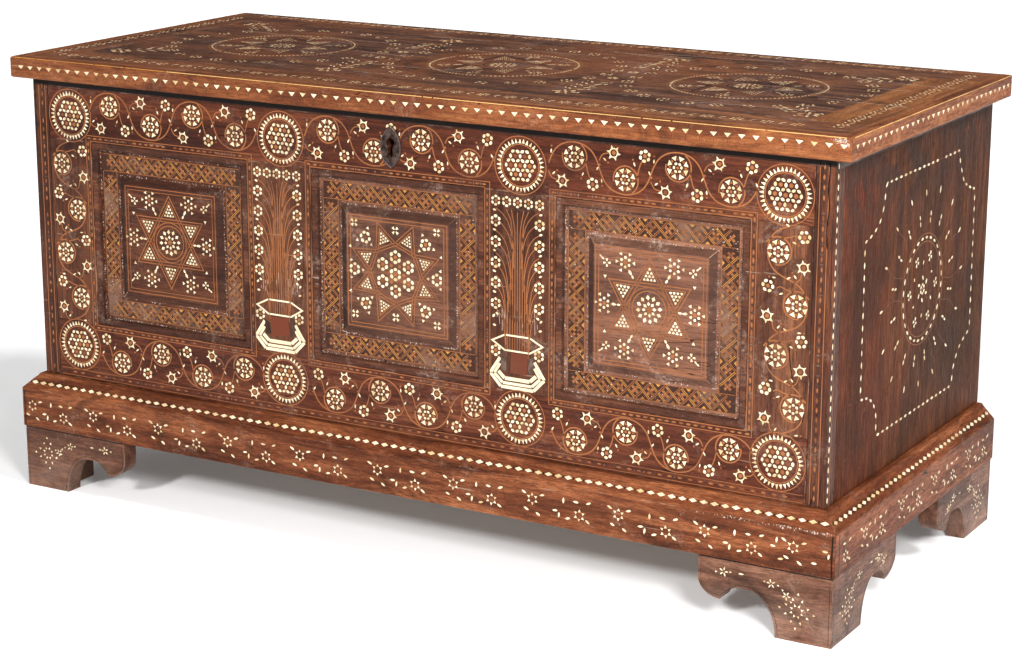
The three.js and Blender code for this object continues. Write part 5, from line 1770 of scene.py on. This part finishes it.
@dataclass
class FootInlay:
    """A radiating flower on each shown face of the feet, with sprigs along the bracket."""

    motifs: Motifs
    finishes: Finishes
    left_flower: Pair = (42.0, 56.0)
    right_flower: Pair = (49.0, 42.0)
    front_run: Pair = (79.0, 111.0)
    side_run: Pair = (99.0, 117.0)

    def build(self) -> None:
        """Lays the two front feet's fronts and all four feet's sides."""
        front = level("foot_front_left_front_bracket", 0, 1)
        work = Inlay("feet_front", Face.front(front), seed=13)
        for node, corner, way, flower in (("foot_front_left_front_bracket", 0, 1, self.left_flower),
                                          ("foot_front_right_front_bracket", 1, -1, self.right_flower)):
            self._bracket(work, level(node, corner, 0), way, flower, *self.front_run)
        work.build(self.finishes)
        for name, corner, way in ENDS:
            x = level(f"foot_front_{name}_side_bracket", corner, 0)
            work = Inlay(f"feet_{name}", Face.end(x, way), seed=14 + corner)
            for place, outer, inwards in (("front", 0, way), ("back", 1, -way)):
                edge = way * level(f"foot_{place}_{name}_side_bracket", outer, 1)
                self._bracket(work, edge, inwards, self.right_flower, *self.side_run)
            work.build(self.finishes)

    def _bracket(self, work: Inlay, edge: float, way: int, flower: Pair, leg: float,
                 width: float) -> None:
        """One bracket's face, drawn from its outer edge inwards.

        Args:
            work: The sheet it is drawn on.
            edge: The outer edge's place on the sheet.
            way: 1 where inwards is to the right, otherwise -1.
            flower: The big flower's place, inwards from the edge and up.
            leg: The leg's width.
            width: From the leg to the lobe's end.
        """
        middle = np.array([edge + way * flower[0], flower[1]])
        work.motif(self.motifs.ray_flower, [middle], 0.06 * way)
        for across, z, degrees, size in ((64, 60, 50, 0.95), (86, 73, 10, 1.0), (153, 77, 175, 1.05)):
            turn = math.radians(degrees if way > 0 else 180 - degrees)
            work.motif(self.motifs.tuft, [(edge + way * across, z)], turn, size)
        work.chips(BONE, barrel(7.0, 2.6, 0.3), [(edge + way * 128, 78)], 0.05)
        if leg > 90:
            work.motif(self.motifs.tuft, [(edge + way * 172, 67)], 0.4, 1.0)
        inset = 4.4
        arch = arc((leg + 40, 0), 1.0, 178, 90, 12) - [leg + 40, 0]
        groove = [(leg + 40 + (40 + inset) * x, (58 + inset) * y) for x, y in arch]
        groove += [(leg + 55, 62), (leg + 68, 52), (leg + 79, 43), (leg + 92, 45), (leg + width - 6, 54),
                   (leg + width - inset, 64), (leg + width - inset, 90)]
        for line in (groove, [(inset, 3.0), (inset, 90.0)]):
            work.string(PITCH, [(edge + way * x, max(z, 3.0)) for x, z in line], 0.8)
        # A dark line along the joint under the plinth: a dark joint and a painted shadow of the plinth's
        # overhang.
        joint_shadow = [(edge + way * 0.6, 93.8), (edge + way * (leg + width - 1), 93.8)]
        work.string(PITCH, joint_shadow, 2.2)


# Iron


@dataclass
class Ironwork:
    """The escutcheon's raised rim, the iron fittings and their finish."""

    finishes: Finishes
    plate: str = "escutcheon"
    rim: float = 1.5

    def build(self) -> None:
        """Dresses the fittings and makes the rim."""
        hinges = [f"hinge_{side}_{piece}" for side in SIDES for piece in ("case_leaf", "lid_leaf", "pin")]
        for node in ("lock_case", "lock_staple", "lock_bolt", *hinges, self.plate):
            paint_node(node, self.finishes.iron)
        self._rim()

    def _rim(self) -> None:
        """A bead round the pointed oval: a half round carried along two arcs that meet at the tips.

        With half width w and half height h, each arc has the radius (h^2 + w^2) / (2 w).
        """
        low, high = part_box(self.plate)
        middle = np.array([(low.x + high.x) / 2, (low.z + high.z) / 2]) / MM
        w, h = (high.x - low.x) / MM / 2 - 1.3, (high.z - low.z) / MM / 2 - 2.0
        radius = (h * h + w * w) / (2 * w)
        half = math.degrees(math.asin(h / radius))
        right = arc((w - radius, 0), radius, -half, half, 25)
        left = arc((radius - w, 0), radius, 180 - half, 180 + half, 25)
        path = middle + np.vstack([right, left[1:-1]])
        ahead = np.roll(path, -1, 0) - np.roll(path, 1, 0)
        side = np.stack([ahead[:, 1], -ahead[:, 0]], 1) / np.linalg.norm(ahead, axis=1, keepdims=True)
        turn = np.linspace(0, TAU, 9)[:-1]
        across, height = self.rim / 2 * np.cos(turn), self.rim / 2 * np.sin(turn)
        flat = path[:, None] + across[None, :, None] * side[:, None]
        points = Face.front(level(self.plate, 0, 1) + 0.9).place(flat, height[None])
        n, k = len(path), len(turn)
        here = np.arange(n * k).reshape(n, k)
        there = np.roll(here, -1, 0)
        piece = mesh_piece("escutcheon_rim", points, quads(here, there).tolist(), arris=np.ones(n * k))
        finish_piece(piece, "case", self.finishes.iron)


# Studio


@dataclass(frozen=True)
class Studio:
    """A plain pale floor, soft light from all round and the camera at the photograph's place."""

    focal_pixels: float = 2452.0
    picture_width: int = 1024
    sensor: float = 36.0
    azimuth: float = 30.1
    elevation: float = 14.68
    roll: float = 0.1
    stand: Triple = (1778.0, -3032.0, 1187.0)
    sky_front: float = 0.42
    sky_back: float = 0.12

    def build(self) -> None:
        """Makes the floor, the lights and the camera."""
        self._floor()
        self._lights()
        self._camera()
        bpy.context.scene.view_settings.view_transform = "Standard"

    def _floor(self) -> None:
        """A white floor that reaches past the horizon of the picture."""
        corners = np.array([[-30, -30, 0], [30, -30, 0], [30, 30, 0], [-30, 30, 0]])
        floor = mesh_piece("studio_floor", corners, [[0, 1, 2, 3]])
        material = bpy.data.materials.new("studio_white")
        material.use_nodes = True
        inputs = material.node_tree.nodes["Principled BSDF"].inputs
        for key, value in (("Base Color", (0.96, 0.96, 0.96, 1)), ("Roughness", 0.7),
                           ("Emission Color", (1, 1, 1, 1)), ("Emission Strength", 0.1)):
            inputs[key].default_value = value
        floor.data.materials.append(material)

    def _lights(self) -> None:
        """A soft sky, a key from in front, a light from the right and a broad box beside the camera."""
        world = bpy.data.worlds.new("studio_sky")
        world.use_nodes = True
        n = Nodes(world.node_tree)
        way = n.add("TexCoord").outputs["Generated"]
        front = n.add("VectorMath", {0: way, 1: (0.1, -0.62, 0.78)}, operation="DOT_PRODUCT").outputs["Value"]
        light = n.span(front, -0.2, 0.95, self.sky_back, self.sky_front)
        sky = n.tree.nodes["Background"].inputs
        n.tree.links.new(light, sky["Strength"])
        sky["Color"].default_value = (1, 1, 1, 1)
        bpy.context.scene.world = world
        for name, travels, energy, spread in (("studio_key", (-0.06, 1.0, -0.62), 2.3, 7.0),
                                              ("studio_right", (-0.92, 0.05, -1.0), 2.2, 12.0)):
            self._lamp(name, "SUN", energy, Vector(travels)).angle = math.radians(spread)
        stand, aim = Vector((2.1, -2.2, 1.7)), Vector((0.55, -0.2, 0.35))
        box = self._lamp("studio_box", "AREA", 95.0, aim - stand, stand)
        box.shape = "RECTANGLE"
        box.size = box.size_y = 0.6

    @staticmethod
    def _lamp(name: str, kind: str, energy: float, travels: Vector,
              stand: Iterable = (0, 0, 0)) -> bpy.types.Light:
        """Hangs a lamp.

        Args:
            name: Its name.
            kind: Its Blender type.
            energy: Its strength.
            travels: The way in which its rays travel.
            stand: Where it stands, in metres.

        Returns:
            Its light.
        """
        light = bpy.data.lights.new(name, kind)
        light.energy = energy
        lamp = scene_object(name, light)
        lamp.location = stand
        lamp.rotation_euler = travels.to_track_quat("-Z", "Y").to_euler()
        return light

    def _camera(self) -> None:
        """The camera, from the fit of the photograph's straight edges."""
        az, el, roll = (math.radians(a) for a in (self.azimuth, self.elevation, self.roll))
        right = np.array([math.cos(az), math.sin(az), 0])
        back = np.array([math.sin(az) * math.cos(el), -math.cos(az) * math.cos(el), math.sin(el)])
        up = np.cross(back, right)
        c, s = math.cos(roll), math.sin(roll)
        axes = np.stack([c * right + s * up, c * up - s * right, back], 1)
        camera = bpy.data.cameras.new("photograph")
        camera.lens = self.focal_pixels / self.picture_width * self.sensor
        camera.sensor_width = self.sensor
        camera.clip_end = 100.0
        holder = scene_object("photograph", camera)
        matrix = np.eye(4)
        matrix[:3, :3], matrix[:3, 3] = axes, np.array(self.stand) * MM
        holder.matrix_world = Matrix(matrix.tolist())
        bpy.context.scene.camera = holder


# The whole chest


def alike(nodes: str, wood: str, grain: Grain, body: str = "case", ease: float = 0.8) -> list[Board]:
    """Boards that are dressed alike.

    Args:
        nodes: Their nodes, with a space between each two.
        wood: Their finish.
        grain: Their fibres' direction.
        body: The body that carries them.
        ease: How far their arrises are eased.

    Returns:
        The boards.
    """
    return [Board(node, wood, grain, body, ease) for node in nodes.split()]


@dataclass
class Chest:
    """The chest's boards by sub-assembly, and the hidden boards that keep their CAD shape."""

    finishes: Finishes

    def build(self) -> None:
        """Dresses every board."""
        joinery = Joinery(self.finishes)
        joinery.dress(self._front() + self._case() + self._plinth() + self._feet() + self._lid())
        joinery.paint(["floor_bearer_left", "floor_bearer_right"], "softwood", Grain.Y)
        blocks = [f"foot_{place}_{side}_glue_block" for place in ("front", "back") for side in SIDES]
        joinery.paint(blocks, "old_softwood", Grain.Z)

    @staticmethod
    def _front() -> list[Board]:
        """The joined front."""
        front = (alike("corner_post_left corner_post_right", "post_walnut", Grain.Z)
                 + alike("rail_top rail_bottom", "red_walnut", Grain.X)
                 + alike("stile_left stile_right muntin_left muntin_right", "dark_walnut", Grain.Z))
        for bay, worn in (("left", ""), ("centre", "worn_"), ("right", "worn_")):
            front += alike(f"panel_{bay}", f"panel_{worn}walnut", Grain.X, ease=0.6)
            front += alike(f"moulding_{bay}", "moulding_walnut", Grain.X, ease=0.25)
        return front

    @staticmethod
    def _case() -> list[Board]:
        """The end, back and floor boards."""
        return (alike("side_left side_right", "side_walnut", Grain.Z)
                + alike("back_board_lower back_board_upper floor_board_1 floor_board_2 floor_board_3",
                         "softwood", Grain.X))

    @staticmethod
    def _plinth() -> list[Board]:
        """The plinth's four boards."""
        return (alike("plinth_front", "plinth_walnut", Grain.X) + alike("plinth_back", "softwood", Grain.X)
                + alike("plinth_left plinth_right", "plinth_walnut", Grain.Y))

    @staticmethod
    def _feet() -> list[Board]:
        """The eight brackets."""
        feet = []
        for place, other in (("front", "front"), ("back", "rear")):
            for side in SIDES:
                feet += alike(f"foot_{place}_{side}_{other}_bracket", "foot_walnut", Grain.X)
                feet += alike(f"foot_{place}_{side}_side_bracket", "foot_walnut", Grain.Y)
        return feet

    @staticmethod
    def _lid() -> list[Board]:
        """The lid's field, frame, nosing and battens."""
        return (alike("lid_field", "worn_walnut", Grain.X, "lid")
                + alike("lid_rail_front", "lid_rail_walnut", Grain.X, "lid")
                + alike("lid_rail_back", "worn_walnut", Grain.X, "lid")
                + alike("lid_end_left", "worn_walnut", Grain.Y, "lid")
                + alike("lid_end_right", "end_walnut", Grain.Y, "lid")
                + alike("lid_nosing_front", "edge_walnut", Grain.X, "lid", 0.3)
                + alike("lid_nosing_left lid_nosing_right", "edge_walnut", Grain.Y, "lid", 0.3)
                + alike("lid_batten_left lid_batten_right", "softwood", Grain.Y, "lid"))


def main() -> None:
    """Builds the studio, the boards, the inlay and the ironwork in order."""
    logging.basicConfig(level=logging.INFO, format="%(message)s")
    Studio().build()
    finishes, motifs = Finishes(), Motifs()
    Chest(finishes).build()
    for inlay in (FrontInlay, LidInlay, SideInlay, PlinthInlay, FootInlay):
        inlay(motifs, finishes).build()
    Ironwork(finishes).build()


if __name__ == "__main__":
    main()
